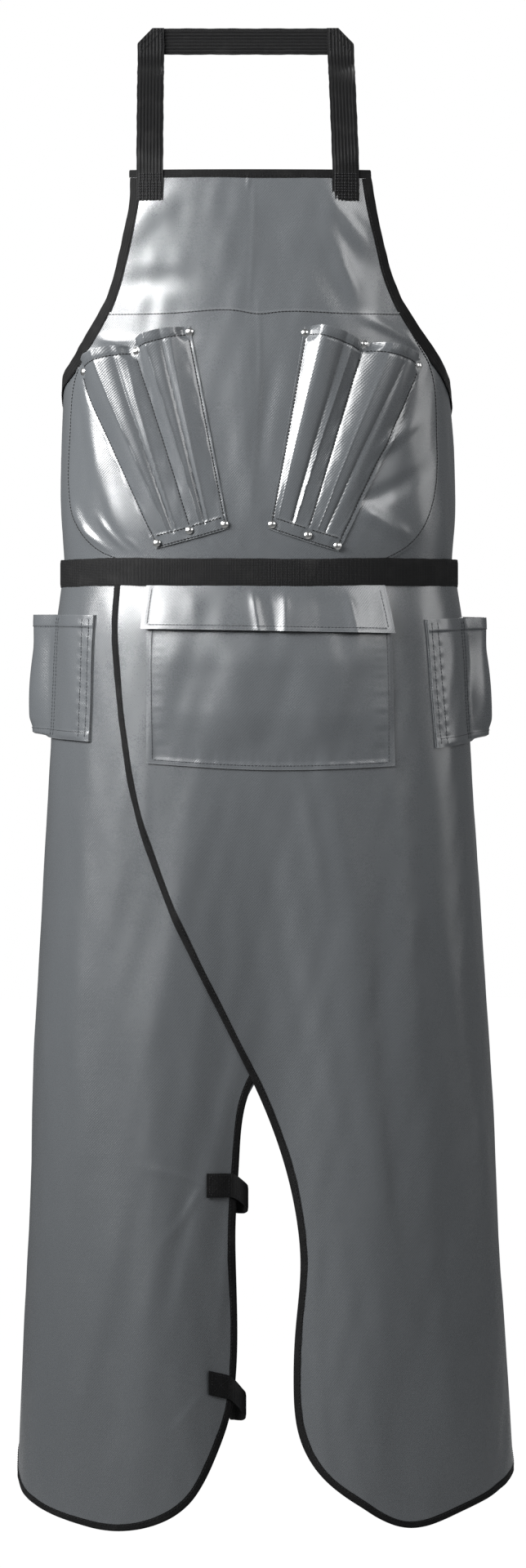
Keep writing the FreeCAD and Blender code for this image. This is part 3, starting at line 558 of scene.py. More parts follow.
def ramp(node, value, low, high, start=0.0, end=1.0):
    return node("ShaderNodeMapRange", {0: value, 1: start, 2: end, 3: low, 4: high})


def maths(node, first, second, operation):
    return node("ShaderNodeMath", {0: first, 1: second}, operation=operation)


def noise(node, place, scale, detail=2.0):
    return node("ShaderNodeTexNoise", {0: place, "Scale": scale, "Detail": detail})


def bump(node, strength, distance, height, under=None):
    inputs = {"Strength": strength, "Distance": distance, "Height": height}
    if under is not None:
        inputs["Normal"] = under
    return node("ShaderNodeBump", inputs)


def places(node):
    """Texture places over the cloth, in metres along and across it, and in the room."""
    return node("ShaderNodeUVMap", {}, uv_map="cloth"), node("ShaderNodeTexCoord", {}, "Object")


def coated_cloth(name, shade):
    """Glossy coated tarpaulin: a diagonal scrim under the coat, soft scuffs and dust, and paler convex edges
    that are partly wear and partly a painted highlight.
    """
    material, surface, node = shader(name)
    uv, place = places(node)
    threads = []
    for turn, share in ((SCRIM_LEAN, 1.0), (SCRIM_LEAN - 90, 0.4)):
        turned = node("ShaderNodeMapping", {0: uv, "Rotation": (0, 0, math.radians(turn))})
        wave = node("ShaderNodeTexWave", {0: turned, "Scale": SCRIM_SCALE, "Distortion": 0.2,
                                          "Detail": 1.0, "Detail Scale": 2.0}, 1)
        threads.append(maths(node, wave, share, "MULTIPLY"))
    weave = maths(node, *threads, "ADD")
    patchy, fine = noise(node, place, 9.0, 3.0), noise(node, place, 900.0)
    cloudy = noise(node, place, 30.0, 4.0)
    base = [c * shade for c in (0.084, 0.090, 0.096)]
    pale, dark = [c * 1.07 for c in base], [c * 0.88 for c in base]
    colour = mix_colour(node, ramp(node, patchy, 0, 1, 0.35, 0.7), (*base, 1), (*pale, 1))
    colour = mix_colour(node, ramp(node, weave, 0.0, 0.2, 0.0, 1.4), colour, (*dark, 1))
    colour = mix_colour(node, ramp(node, cloudy, 0.0, 0.014, 0.6, 0.8), colour, (0.32, 0.33, 0.33, 1))
    # the paler convex edges are partly wear and partly a painted highlight along the cloth's edges
    edge = node("ShaderNodeNewGeometry", {}, "Pointiness")
    colour = mix_colour(node, ramp(node, edge, 0.0, 0.25, 0.54, 0.62), colour, (0.26, 0.27, 0.275, 1))
    rough = ramp(node, cloudy, 0.25, 0.29, 0.3, 0.75)
    rough = maths(node, rough, ramp(node, fine, -0.03, 0.05), "ADD")
    low = bump(node, 0.45, 0.00013, weave)
    drawn = node("ShaderNodeMapping", {0: place, "Scale": (14, 14, 190)})
    crinkle = bump(node, 0.1, 0.0005, noise(node, drawn, 1.0, 3.0), low)
    fill(surface, {"Base Color": colour, "Roughness": rough, "Specular IOR Level": 0.75,
                   "Coat Weight": 0.35, "Coat Roughness": 0.16,
                   "Normal": bump(node, 0.12, 0.0002, fine, crinkle)})
    return material


def woven_tape(name, shade, pitch, rough):
    """Black woven tape: fine cross threads, fuzz and paler worn ridges."""
    material, surface, node = shader(name)
    uv, place = places(node)
    inputs = {0: uv, "Scale": pitch, "Distortion": 1.2, "Detail": 2.0}
    bands = [node("ShaderNodeTexWave", inputs, 1, bands_direction=way) for way in "XY"]
    weave = maths(node, *bands, "MULTIPLY")
    fuzz, dusty = noise(node, place, 1400.0, 3.0), noise(node, place, 45.0, 4.0)
    dark, pale = [(c, c, c * 1.06, 1) for c in (shade, shade * 2.6)]
    colour = mix_colour(node, ramp(node, weave, 0.0, 0.6), dark, pale)
    colour = mix_colour(node, ramp(node, dusty, 0.0, 0.2, 0.55, 0.85), colour, (0.05, 0.049, 0.048, 1))
    fill(surface, {"Base Color": colour, "Roughness": ramp(node, fuzz, rough, rough + 0.2),
                   "Specular IOR Level": 0.16, "Sheen Weight": 0.025, "Sheen Roughness": 0.45,
                   "Normal": bump(node, 0.3, 0.0002, fuzz, bump(node, 0.6, 0.0003, weave))})
    return material


def sewing_thread(name, colour):
    """Twisted sewing thread."""
    material, surface, node = shader(name)
    uv, place = places(node)
    twist = node("ShaderNodeTexWave", {0: uv, "Scale": 900.0}, 1, bands_direction="DIAGONAL")
    pale = [min(c * 1.9 + 0.004, 1) for c in colour]
    worn = ramp(node, noise(node, place, 300.0), 0.0, 0.8, 0.3, 0.7)
    fill(surface, {"Base Color": mix_colour(node, worn, (*colour, 1), (*pale, 1)), "Roughness": 0.55,
                   "Sheen Weight": 0.05, "Specular IOR Level": 0.25,
                   "Normal": bump(node, 0.5, 0.0001, twist)})
    return material


def plated_metal(name):
    """Bright plated steel with fine scratches and dulled patches."""
    material, surface, node = shader(name)
    place = node("ShaderNodeTexCoord", {}, "Object")
    stretched = node("ShaderNodeMapping", {0: place, "Scale": (900, 900, 2600)})
    scratches = noise(node, stretched, 1.0, 3.0)
    dull = ramp(node, noise(node, place, 260.0), 0, 1, 0.35, 0.75)
    fill(surface, {"Base Color": mix_colour(node, dull, (0.86, 0.86, 0.85, 1), (0.62, 0.62, 0.61, 1)),
                   "Metallic": 1.0, "Roughness": ramp(node, scratches, 0.14, 0.34),
                   "Normal": bump(node, 0.15, 0.0001, scratches)})
    return material


def moulded_plastic(name):
    """Black moulded acetal: fine spark-eroded grain, and paler edges, partly wear and partly a soft painted
    sheen.
    """
    material, surface, node = shader(name)
    place = node("ShaderNodeTexCoord", {}, "Object")
    grain, blotch = noise(node, place, 2200.0), noise(node, place, 120.0, 3.0)
    edge = node("ShaderNodeNewGeometry", {}, "Pointiness")
    mottled = ramp(node, blotch, 0, 1, 0.3, 0.8)
    colour = mix_colour(node, mottled, (0.012, 0.012, 0.013, 1), (0.024, 0.024, 0.026, 1))
    # paler edges by pointiness: partly wear and partly a painted sheen
    colour = mix_colour(node, ramp(node, edge, 0.0, 0.6, 0.52, 0.62), colour, (0.09, 0.09, 0.095, 1))
    fill(surface, {"Base Color": colour, "Roughness": ramp(node, blotch, 0.36, 0.52),
                   "Normal": bump(node, 0.25, 0.0001, grain)})
    return material


# A wave texture repeats every pi / 10 / scale metres.
SCRIM_SCALE = 0.314159 / 0.0017
SCRIM_LEAN = 42
TAPE_SCALE = 0.314159 / 0.0011
CLOTH_SKIN = coated_cloth("coated_cloth", 1.0)
# painted shade: the legs' cloth is the same coated cloth made 6% darker, for the shade that falls on the
# lower apron
LEG_SKIN_PAINTED_SHADE = coated_cloth("coated_cloth_leg_painted_shade", 0.94)
TAPE = woven_tape("binding_tape", 0.0032, TAPE_SCALE, 0.62)
WEB = woven_tape("webbing", 0.0038, TAPE_SCALE, 0.5)
BLACK_THREAD = sewing_thread("black_thread", (0.0025, 0.0025, 0.003))
TACK_THREAD = sewing_thread("tack_thread", (0.010, 0.010, 0.011))
GREY_THREAD = sewing_thread("grey_thread", (0.028, 0.030, 0.033))
METAL = plated_metal("plated_rivet")
PLASTIC = moulded_plastic("moulded_plastic")


# ---------------------------------------------------------------- outlines
def mirrored(points):
    return [(-angle, z) for angle, z in points]


def bib_left_edge():
    points = fronts((-116.3, BIB_TOP), (-117.8, 331), (-128, 286), (-143, 241), (-158, 216), (-170, 196))
    points += [(-90, 178), (-101, 150), (-107, 105), (-BACK_EDGE_ANGLE + 1, 50)]
    return smooth(points + [(-BACK_EDGE_ANGLE, BIB_BOTTOM)], 180)


def bib_right_edge():
    points = fronts((102, BIB_TOP), (108.8, 331), (119, 286), (136.5, 241), (153, 216), (168, 194))
    points += [(90, 167), (101, 143), (107, 102), (BACK_EDGE_ANGLE - 1, 50)]
    return smooth(points + [(BACK_EDGE_ANGLE, BIB_BOTTOM)], 180)


BACK_EDGE = [(-BACK_EDGE_ANGLE, SKIRT_TOP), (-BACK_EDGE_ANGLE, -300), (-BACK_EDGE_ANGLE, -600)]


def left_leg_edge():
    points = BACK_EDGE + [(-110, -680), (-107, -742), (-100, -792), (-90, -824)]
    points += fronts((-207, -852), (-174, -868), (-129, -877), (-92, -871), (-61, -851), (-39, -812),
                     (-25, -770), (-19, -719), (-19, -660), (-20, -599), (-17, -540), (-10, -483),
                     (8, -446), (42, -404), (82, -340), (112, -260), (131, -150), (139, -60),
                     (140, SKIRT_TOP))
    return smooth(points, 900)


def right_leg_edge():
    points = fronts((-131, SKIRT_TOP), (-130, -60), (-123, -138), (-107, -228), (-75, -318), (-33, -408),
                    (0, -477), (22.5, -539), (35, -599), (37.5, -634), (33, -695), (31.5, -745),
                    (37.5, -794), (56, -827), (91.5, -855), (136, -874), (180, -861), (213, -845))
    points += [(90, -817), (100, -787), (107, -738), (110, -678)] + mirrored(BACK_EDGE)[::-1]
    return smooth(points, 900)


# ---------------------------------------------------------------- bindings
TAPE_THICKNESS = 0.32
TAPE_SWELL = 0.4
TUCK = 1.3                 # how far the cloth stays from the folded edge of its tape


def binding(name, path, width, cloth_lift, side=1, wider=0.0, over=0.0):
    """Tape folded over a cloth edge: a U section swept along the edge, with its stitches.

    wider is a share added to its width, and over lifts its front, per spot of the path."""
    low, high = cloth_lift - TAPE_SWELL, cloth_lift + CLOTH + TAPE_SWELL
    t, middle = TAPE_THICKNESS, (low + high) / 2
    section = [(width, high), (width * 0.66, high + 0.12), (width * 0.33, high + 0.1), (1.1, high + 0.05),
               (0.35, high - 0.35), (0.0, middle), (0.35, low + 0.35), (1.1, low), (width, low),
               (width, low + t), (1.3, low + t), (0.8, low + t + 0.3), (0.6, middle),
               (0.8, high - t - 0.3), (1.3, high - t), (width, high - t)]
    rings = []
    along = distances(draped(path[:, 0], path[:, 1], low))
    lump = 0.14 * np.sin(along / 3.1) * np.sin(along / 17.0 + 1.0) + 0.08 * np.sin(along / 5.3)
    edge_wave = 0.35 * np.sin(along / 41.0) + 0.2 * np.sin(along / 13.0)
    for across, lift in section:
        reach = across * (1 + wider) + (edge_wave if across > width / 2 else 0.0)
        spots = inset(path, side * reach)
        rings.append(draped(spots[:, 0], spots[:, 1], lift + (lump + over if lift > middle else 0)))
    uv = np.stack([np.repeat(along[:, None], len(section), 1),
                   np.tile(np.cumsum([1.7] * len(section)), (len(along), 1))], -1)
    shell = Shell()
    shell.sweep(np.stack(rings, 1), uv)
    finish_piece(shell.build(name + "_tape", TAPE), nodes=[name])
    seam = on_layer(inset(path, side * (width * (1 + wider) - 1.5)), high + 0.14 + over)
    thread(name + "_thread", [seam], BLACK_THREAD, "binding_tape", pitch=3.6, radius=0.26)


# ---------------------------------------------------------------- bib
bib_left, bib_right = bib_left_edge(), bib_right_edge()


def trimmed(path, top_z, bottom_z):
    return path[(path[:, 1] < top_z) & (path[:, 1] > bottom_z)]


def bib():
    left = inset(bib_left, TUCK)
    right = inset(bib_right, -TUCK)
    top_z = BIB_TOP - TUCK
    left = np.concatenate([[[left[0, 0], top_z]], left[left[:, 1] < top_z - 1]])
    right = np.concatenate([[[right[0, 0], top_z]], right[right[:, 1] < top_z - 1]])
    left, right = smooth(left[::6], 120), smooth(right[::6], 120)
    top, bottom = smooth([left[0], right[0]], 170), smooth([left[-1], right[-1]], 170)
    cloth = Cloth(coons(top, bottom, left, right), BIB_LIFT, CLOTH)
    cloth.build("bib_cloth", CLOTH_SKIN, "coated_cloth", nodes=["bib_panel"])


def bib_bindings():
    top_z = BIB_TOP - TOP_BINDING_WIDTH + 1.0
    for name, path, side in (("bib_left_binding", bib_left, 1), ("bib_right_binding", bib_right, -1)):
        line = smooth(trimmed(path, top_z, SKIRT_TOP + 1.5)[::6], 190)
        # round the armhole the tape is turned away from the front, and lies over the chest patch
        turned = smoothstep(line[:, 1], 150, 175) * (1 - smoothstep(line[:, 1], 205, 262))
        covers = smoothstep(line[:, 1], 148, 166) * (1 - smoothstep(line[:, 1], 238, 252))
        binding(name, line, BIB_BINDING_WIDTH, BIB_LIFT, side, 0.42 * turned, 1.0 * covers)
    path = smooth([bib_right[0], bib_left[0]], 110)
    binding("bib_top_binding", path, TOP_BINDING_WIDTH, BIB_LIFT + 0.12)


# ---------------------------------------------------------------- chest
PATCH_ALLOWANCE = 2.2      # cloth left outside the seam


def patch_edges():
    left = fronts((-138, 236.5), (-148, 213), (-160, 193), (-168, 170), (-171, 130), (-171, 70),
                  (-163, 42), (-146, 20), (-124, 10.5))
    right = fronts((132, 236.5), (142, 212), (154, 193), (160.5, 165), (162, 125), (161, 80),
                   (154, 50), (138, 25), (113, 10.5))
    top = fronts((-70, 237.2), (-16, 238.6), (-4, 236.4), (4, 236.2), (16, 237.6), (70, 237.0))
    return smooth([left[0], *top, right[0]], 170), smooth(left, 130), smooth(right, 130)


def chest():
    top, left, right = patch_edges()
    wide_left, wide_right = inset(left, -PATCH_ALLOWANCE), inset(right, PATCH_ALLOWANCE)
    wide_top = top + [0, PATCH_ALLOWANCE]
    wide_left[0], wide_right[0] = wide_top[0], wide_top[-1]
    bottom = smooth([wide_left[-1], wide_right[-1]], 170)
    cloth = Cloth(coons(wide_top, bottom, wide_left, wide_right), CHEST_PATCH_LIFT, POCKET_CLOTH)
    cloth.build("chest_patch_cloth", CLOTH_SKIN, "coated_cloth", nodes=["chest_patch"])
    lift = CHEST_PATCH_LIFT + POCKET_CLOTH
    lines = [on_layer(line, lift) for line in (top, left[4:], right[4:])]
    thread("chest_seam_thread", lines, BLACK_THREAD, "coated_cloth", radius=0.46)


# ---------------------------------------------------------------- tool pockets
HEM_DEPTH = 7.0
TUBE_HEIGHT = 12.0
TUBE_POWER = 0.95
MOUTH_RISE = 5.6           # how far the mouth of a tube arches up between its rivets
FOOT_SHARE = 0.935         # where the folded foot of a pocket starts
TOOL_POCKET_WIDTH, TOOL_POCKET_HEIGHT, TOOL_SEAM_LENGTH = 112.0, 190.0, 188.0

# per tube: where its crown stands, then its creases: share at the top, share at the
# foot, half-width and height
LEFT_TUBES = [
    (0.56, 0.42, [(0.50, 0.40, 0.032, 1.5), (0.76, 0.52, 0.075, -4.6), (0.93, 0.62, 0.035, 1.8)]),
    (0.42, 0.32, [(0.36, 0.29, 0.030, 1.6), (0.60, 0.41, 0.065, -4.0), (0.76, 0.52, 0.050, 1.2)]),
]
RIGHT_TUBES = [
    (0.27, 0.24, [(0.18, 0.15, 0.030, 1.0), (0.62, 0.54, 0.080, -3.0), (0.78, 0.60, 0.045, 1.6)]),
    (0.40, 0.34, [(0.30, 0.27, 0.030, 1.0), (0.60, 0.52, 0.080, -2.6)]),
]
# corners: top left, top right, bottom right, bottom left
LEFT_TOOL_POCKET = [(-162.1, 188.6), (-60.9, 225.0), (-26.6, 39.6), (-93.4, 21.3)]
RIGHT_TOOL_POCKET = [(41.3, 224.2), (149.5, 193.8), (73.6, 18.6), (9.0, 39.4)]


def rise_and_fall(s, crown):
    """Shares that climb to 1 at the crown of a tube and fall again."""
    return np.minimum(s / crown, (1 - s) / (1 - crown))


def tube_stand(u, v, tubes, edges):
    """Lift of two open tubes side by side, with sharp creases that run to the foot."""
    stand = np.zeros(np.broadcast(u, v).shape)
    for k, (crown_top, crown_foot, creases) in enumerate(tubes):
        share = (u - edges[k]) / (edges[k + 1] - edges[k])
        s = np.clip(share, 0, 1)
        crown = crown_top + (crown_foot - crown_top) * np.clip(v, 0, 1) ** 0.9
        fade = (1 - np.clip(v / FOOT_SHARE, 0, 1)) ** TUBE_POWER
        tube = TUBE_HEIGHT * np.sin(math.pi / 2 * rise_and_fall(s, crown)) * fade
        pinch = np.clip(4 * s * (1 - s), 0, 1) ** 0.8
        for top, foot, wide, high in creases:
            middle = top + (foot - top) * v ** 0.9
            ridge = np.abs(s - middle) / (wide * (1.25 - 0.7 * v))
            sharp = np.exp(-np.sqrt(ridge ** 2 + 0.02) * 1.5)
            reach = smoothstep(v, -0.15, 0.12)
            reach = reach * (1 - smoothstep(v, FOOT_SHARE - 0.02, FOOT_SHARE + 0.02))
            tube = tube + high * sharp * pinch * reach * (1 - 0.35 * v)
        stand = np.where((share > 0) & (share < 1), stand + tube, stand)
    return stand


def share_of(point, start, end):
    """How far along the line from start to end a point stands."""
    start, end = np.array(start), np.array(end)
    return float(np.dot(np.array(point) - start, end - start) / np.dot(end - start, end - start))


def tool_pocket(side, corners, rivets, tubes):
    columns, rows = 150, 130
    grid = patch(fronts(*corners), columns, rows)
    u, v = shares(columns, rows)
    # shares of the width where the rivets' three seams run, at the top and at the foot
    tl, tr, br, bl = corners
    top = [share_of(p, tl, tr) for p in rivets[:3]]
    foot = [share_of(p, bl, br) for p in rivets[3:]]
    seams = [np.broadcast_to(t + (f - t) * v, (columns, rows)) for t, f in zip(top, foot)]
    wide_u, wide_v = np.broadcast_arrays(u, v)
    stand = tube_stand(wide_u, wide_v, tubes, seams)
    # the seams draw the cloth down to the chest, with small puckers beside them
    for s in seams:
        off = np.abs(u - s) * TOOL_POCKET_WIDTH
        stand = stand - 0.45 * np.exp(-(off / 1.3) ** 2)
        wave = np.sin(v * TOOL_SEAM_LENGTH / 4.6 + 3 * s)
        stand = stand + 0.22 * wave * np.exp(-((off - 3.6) / 2.6) ** 2)
    calm = calm_near(grid[..., 0], grid[..., 1], fronts(*rivets), 4.2, 10)
    down = v * TOOL_POCKET_HEIGHT
    hem = 0.55 * (1 - smoothstep(down, HEM_DEPTH - 0.6, HEM_DEPTH + 0.6)) * np.ones((columns, 1))
    hem = hem + 0.55 * smoothstep(v, FOOT_SHARE - 0.003, FOOT_SHARE + 0.003)
    stand = (stand - np.exp(-((down - HEM_DEPTH) / 1.2) ** 2) * 0.5) * calm
    # the mouth of each tube arches up between its rivets
    shift = np.zeros((columns, rows, 3))
    for k in (0, 1):
        s = np.clip((u - seams[k]) / (seams[k + 1] - seams[k]), 0, 1)
        climb = np.clip(rise_and_fall(s, tubes[k][0]) * 1.25, 0, 1)
        shift[..., 2] += MOUTH_RISE * np.sin(math.pi / 2 * climb) * (1 - v) ** 12
    cloth = Cloth(grid, TOOL_POCKET_LIFT, POCKET_CLOTH, stand, shift, hem * calm)
    cloth.build(side + "_tool_pocket_cloth", CLOTH_SKIN, "coated_cloth", nodes=[side + "_tool_pocket"])
    lines = []
    hem_v = (HEM_DEPTH + 0.2) / TOOL_POCKET_HEIGHT
    for k in (0, 1):
        lines.append(cloth.at(top[k] + (top[k + 1] - top[k]) * np.linspace(0.035, 0.965, 150), hem_v))
        run = foot[k] + (foot[k + 1] - foot[k]) * np.linspace(0.06, 0.94, 150)
        lines.append(cloth.at(run, FOOT_SHARE + 0.004))
    lines.append(cloth.at(np.linspace(0.02, 0.98, 300), 0.992))
    for k, start, end in ((0, 0.02, 0.965), (1, 0.03, 0.93), (2, 0.02, 0.965)):
        v_line = np.linspace(hem_v + start, end, 300)
        lines.append(cloth.at(top[k] + (foot[k] - top[k]) * v_line, v_line))
    thread(side + "_tool_pocket_thread", lines, BLACK_THREAD, "coated_cloth", radius=0.46)


# ---------------------------------------------------------------- skirt
def leg(side, edge, lift, first, last):
    """A leg panel; first and last are the spots of its edge where the hem begins and ends."""
    line = inset(edge, TUCK)
    rows, columns = 230, 120
    left, right = evenly_spots(line[:first + 1], rows), evenly_spots(line[last:][::-1], rows)
    bottom = evenly_spots(line[first:last + 1], columns)
    top = smooth([left[0], right[0]], columns)
    cloth = Cloth(coons(top, bottom, left, right), lift, CLOTH)
    cloth.build(side + "_leg_cloth", LEG_SKIN_PAINTED_SHADE, "coated_cloth", nodes=[side + "_leg_panel"])
    binding(side + "_leg_binding", edge, LEG_BINDING_WIDTH, lift)


# ---------------------------------------------------------------- front pocket and flap
def front_pocket():
    tl, tr, br, bl = fronts((-97, -20), (116, -20), (119.5, -177.5), (-97, -175))
    columns, rows = 130, 96
    u, v = shares(columns, rows)
    bottom = straight(bl, br, columns)
    bottom[:, 1] -= 5.0 * np.sin(math.pi * u[:, 0]) ** 0.9
    grid = coons(straight(tl, tr, columns), bottom, straight(tl, bl, rows), straight(tr, br, rows))
    inner = np.clip(16 * u * (1 - u) * (1.05 - v) * 1.2, 0, 1)
    bulge = 5.0 * np.sin(math.pi * u) ** 0.6 * smoothstep(v, 0.10, 0.42) * (1 - smoothstep(v, 0.66, 0.985))
    folds = 1.2 * np.sin(u * 17 + 3 * v) * smoothstep(v, 0.2, 0.5) * (1 - smoothstep(v, 0.8, 1.0)) * inner
    along_foot = np.sin(u * 131) * np.sin(u * 37 + 1) + 0.5 * np.sin(u * 83 + 2)
    pucker = 0.14 * along_foot * smoothstep(v, 0.88, 0.955) * (1 - smoothstep(v, 0.965, 0.985))
    along_side = np.sin(v * 97) * np.sin(v * 29 + 1) + 0.5 * np.sin(v * 61)
    for edge in (0.045, 0.955):
        pucker = pucker + 0.11 * along_side * np.exp(-((u - edge) / 0.022) ** 2)
    hem = 0.5 * np.maximum(np.maximum(smoothstep(v, 0.962, 0.972), smoothstep(u, 0.974, 0.982)),
                           1 - smoothstep(u, 0.018, 0.026))
    cloth = Cloth(grid, FRONT_POCKET_LIFT, POCKET_CLOTH, bulge + folds + pucker, None, hem)
    cloth.build("front_pocket_cloth", CLOTH_SKIN, "coated_cloth", nodes=["front_pocket"])
    run = np.linspace(0.02, 0.98, 400)
    lines = [cloth.at(run, 0.976), cloth.at(0.0195, run), cloth.at(1 - 0.0195, run)]
    thread("front_pocket_thread", lines, GREY_THREAD, "coated_cloth")


# one row per crease of the flap: share of the width, lean, half-width and height
FLAP_CREASES = [(0.44, 0.03, 0.018, 2.0), (0.60, -0.02, 0.02, 1.7), (0.86, 0.0, 0.02, 1.8),
                (0.52, 0.02, 0.03, -1.2), (0.18, 0.02, 0.05, 1.2), (0.74, 0.0, 0.04, -1.0)]


def flap():
    columns, rows = 130, 34
    grid = patch(fronts((-99, -8.0), (112.5, -8.0), (115.5, -55.8), (-98.5, -52)), columns, rows)
    u, v = shares(columns, rows)
    stand = 4.4 * v ** 1.2 + 0.4 * np.sin(u * 23) * v
    for middle, lean, wide, high in FLAP_CREASES:
        off = (u - middle - lean * v) / wide
        stand = stand + high * np.exp(-np.abs(off) ** 1.5 * 0.8) * smoothstep(v, 0.1, 0.5)
    # it lies flat where the belt covers it
    tuck = smoothstep(-grid[..., 1], 9.0, 15.0)
    hem = 0.45 * np.maximum(np.maximum(smoothstep(v, 0.905, 0.935), smoothstep(u, 0.976, 0.984)),
                            1 - smoothstep(u, 0.016, 0.024))
    cloth = Cloth(grid, FLAP_LIFT, POCKET_CLOTH, stand * tuck, None, hem * tuck)
    piece = cloth.build("pocket_flap_cloth", CLOTH_SKIN, "coated_cloth", body=None, nodes=["pocket_flap"])
    down = np.linspace(0.17, 0.91, 90)
    lines = [cloth.at(np.linspace(0.021, 0.979, 400), 0.91), cloth.at(0.021, down), cloth.at(0.979, down)]
    sewn = thread("pocket_flap_thread", lines, GREY_THREAD, "coated_cloth", body=None)
    low, high = box_mm("pocket_flap")
    for thing in (piece, sewn):
        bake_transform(thing)


# ---------------------------------------------------------------- side pouches
POUCH_DIVIDER = 0.44
FLAT_TUBE, OPEN_TUBE = 1.2, 21.0
LEFT_POUCH = [front(-147, -39), (-101, -37), (-101, -147), front(-149.6, -155)]
RIGHT_POUCH = [front(149, -43), (101, -39), (101, -148), front(157.5, -161)]


def pouch(side, corners, lift):
    columns, rows = 120, 90
    grid = patch(corners, columns, rows)
    u, v = np.broadcast_arrays(*shares(columns, rows))
    back = Cloth(grid, lift, POCKET_CLOTH)
    back.build(side + "_pouch_back_cloth", CLOTH_SKIN, "coated_cloth", nodes=[side + "_pouch_back"])
    stand = np.zeros((columns, rows))
    for start, end, high in ((0.0, POUCH_DIVIDER, FLAT_TUBE), (POUCH_DIVIDER, 1.0, OPEN_TUBE)):
        s = np.clip(((u - start) / (end - start) - 0.05) / 0.9, 0, 1)
        arch = np.sin(math.pi * s) ** 1.7
        sag = 1 - 0.10 * smoothstep(v, 0.0, 0.3) + 0.08 * np.sin(v * 7 + start * 9)
        # the tube keeps its width to the foot, where a flat floor closes it
        foot = (1 - 0.14 * smoothstep(v, 0.84, 0.965)) * (1 - smoothstep(v, 0.972, 0.996))
        stand += high * arch * sag * foot
    tube = stand > 0.5
    folds = 0.7 * np.sin(u * 31 + v * 4) * smoothstep(v, 0.02, 0.3) + 0.5 * np.sin(u * 13 - v * 9)
    stand = stand + folds * tube * (1 - smoothstep(v, 0.8, 0.94)) * smoothstep(stand, 0.5, 4)
    for s in (0.035, 0.105, POUCH_DIVIDER - 0.02, POUCH_DIVIDER + 0.03):
        stand = stand + 0.18 * np.sin(v * 70 + s * 20) * np.exp(-((u - s) / 0.02) ** 2)
    hem = 0.5 * (1 - smoothstep(v, 0.088, 0.100)) + 0.5 * smoothstep(v, 0.925, 0.937)
    cloth = Cloth(grid, lift + POCKET_CLOTH + POUCH_GAP, POCKET_CLOTH, np.maximum(stand, 0), None, hem)
    cloth.build(side + "_pouch_front_cloth", CLOTH_SKIN, "coated_cloth", nodes=[side + "_pouch_front"])
    run = np.linspace(0.02, 0.98, 300)
    columns_sewn = (0.035, 0.095, POUCH_DIVIDER - 0.022, POUCH_DIVIDER + 0.034, 0.955)
    lines = [cloth.at(share, run) for share in columns_sewn]
    lines += [cloth.at(run, share) for share in (0.094, 0.931)]
    thread(side + "_pouch_thread", lines, GREY_THREAD, "coated_cloth")


# ---------------------------------------------------------------- webbing
RIB_PITCH = 1.55
RIB_DEPTH = 0.3
PLAN_STEP = 0.39


def ribbon(shell, middle, across, up, width, ribs="across", cut=None):
    """A webbing run: middle points, unit vectors across its width and out of its face."""
    along = distances(middle)
    columns = 49 if ribs == "along" else 9
    b = np.linspace(-0.5, 0.5, columns)
    rib = RIB_DEPTH * 0.5 * np.cos(2 * math.pi * along / RIB_PITCH)[:, None] * np.ones((1, columns))
    if ribs == "along":
        rib = RIB_DEPTH * np.cos(2 * math.pi * b * 8)[None] * np.ones((len(along), 1))
    round_edge = (WEBBING / 2 - 0.28) * np.clip(1 - (np.abs(2 * b) ** 14), 0.25, 1)[None]
    edge_wave = 1 + (0.010 * np.sin(along / 6.1) + 0.006 * np.sin(along / 2.3 + 1))[:, None]
    reach = b[None] * width * edge_wave
    half = round_edge + rib * np.clip(1.3 - np.abs(2 * b) ** 8, 0, 1)[None]
    spots = middle[:, None] + across[:, None] * reach[..., None]
    if cut is not None:
        spots = spots + cut(along, b)
    out = up[:, None] * (half + 0.14)[..., None]
    top, low = spots + out, spots - out
    uv_x = np.concatenate([reach + 100, reach[:, ::-1] + 200], 1)
    uv = np.stack([np.repeat(along[:, None], 2 * columns, 1), uv_x], -1)
    shell.sweep(np.concatenate([top, low[:, ::-1]], 1), uv)
    return top


def even_run(path, step):
    """The path at even steps, and its unit directions of travel."""
    path = evenly(path, int(distances(path)[-1] / step))
    ahead = np.gradient(path, axis=0)
    return path, ahead / np.linalg.norm(ahead, axis=1, keepdims=True)


def plan_frames(path, z):
    """Along a plan path (x, y) at height z: middle points, the way up, and its right side."""
    path, ahead = even_run(path, PLAN_STEP)
    middle = np.column_stack([path, np.full(len(path), z)])
    up = np.column_stack([ahead[:, 1], -ahead[:, 0], np.zeros(len(path))])
    return middle, np.tile([0.0, 0.0, 1.0], (len(path), 1)), up


BAR_RADIUS = 2.9
BAR_MIDDLE = 1.5
BUCKLE_LENGTH = 50.0


def round_bar(bar_x, y, toward, outward, tail):
    """Plan points of a strap end folded round a buckle bar: tail, half turn, run."""
    points = [(bar_x - toward * tail, y - outward * 1.0), (bar_x - toward * tail * 0.6, y - outward * 1.05)]
    points += [(bar_x - toward * 5.0, y - outward * 1.6)]
    for turn in np.radians([-100, -60, -20, 20, 60, 100]):
        ahead, out = BAR_RADIUS * math.cos(turn), BAR_RADIUS * math.sin(turn)
        points.append((bar_x + toward * ahead, y + outward * out))
    points.append((bar_x - toward * 5.0, y + outward * 1.4))
    return points


# a box with a cross in it, as shares of the length and of the width
BOX_LINES = [((0.08, 0.1), (0.92, 0.1)), ((0.92, 0.1), (0.92, 0.9)), ((0.92, 0.9), (0.08, 0.9)),
             ((0.08, 0.9), (0.08, 0.1)), ((0.08, 0.1), (0.92, 0.9)), ((0.08, 0.9), (0.92, 0.1))]


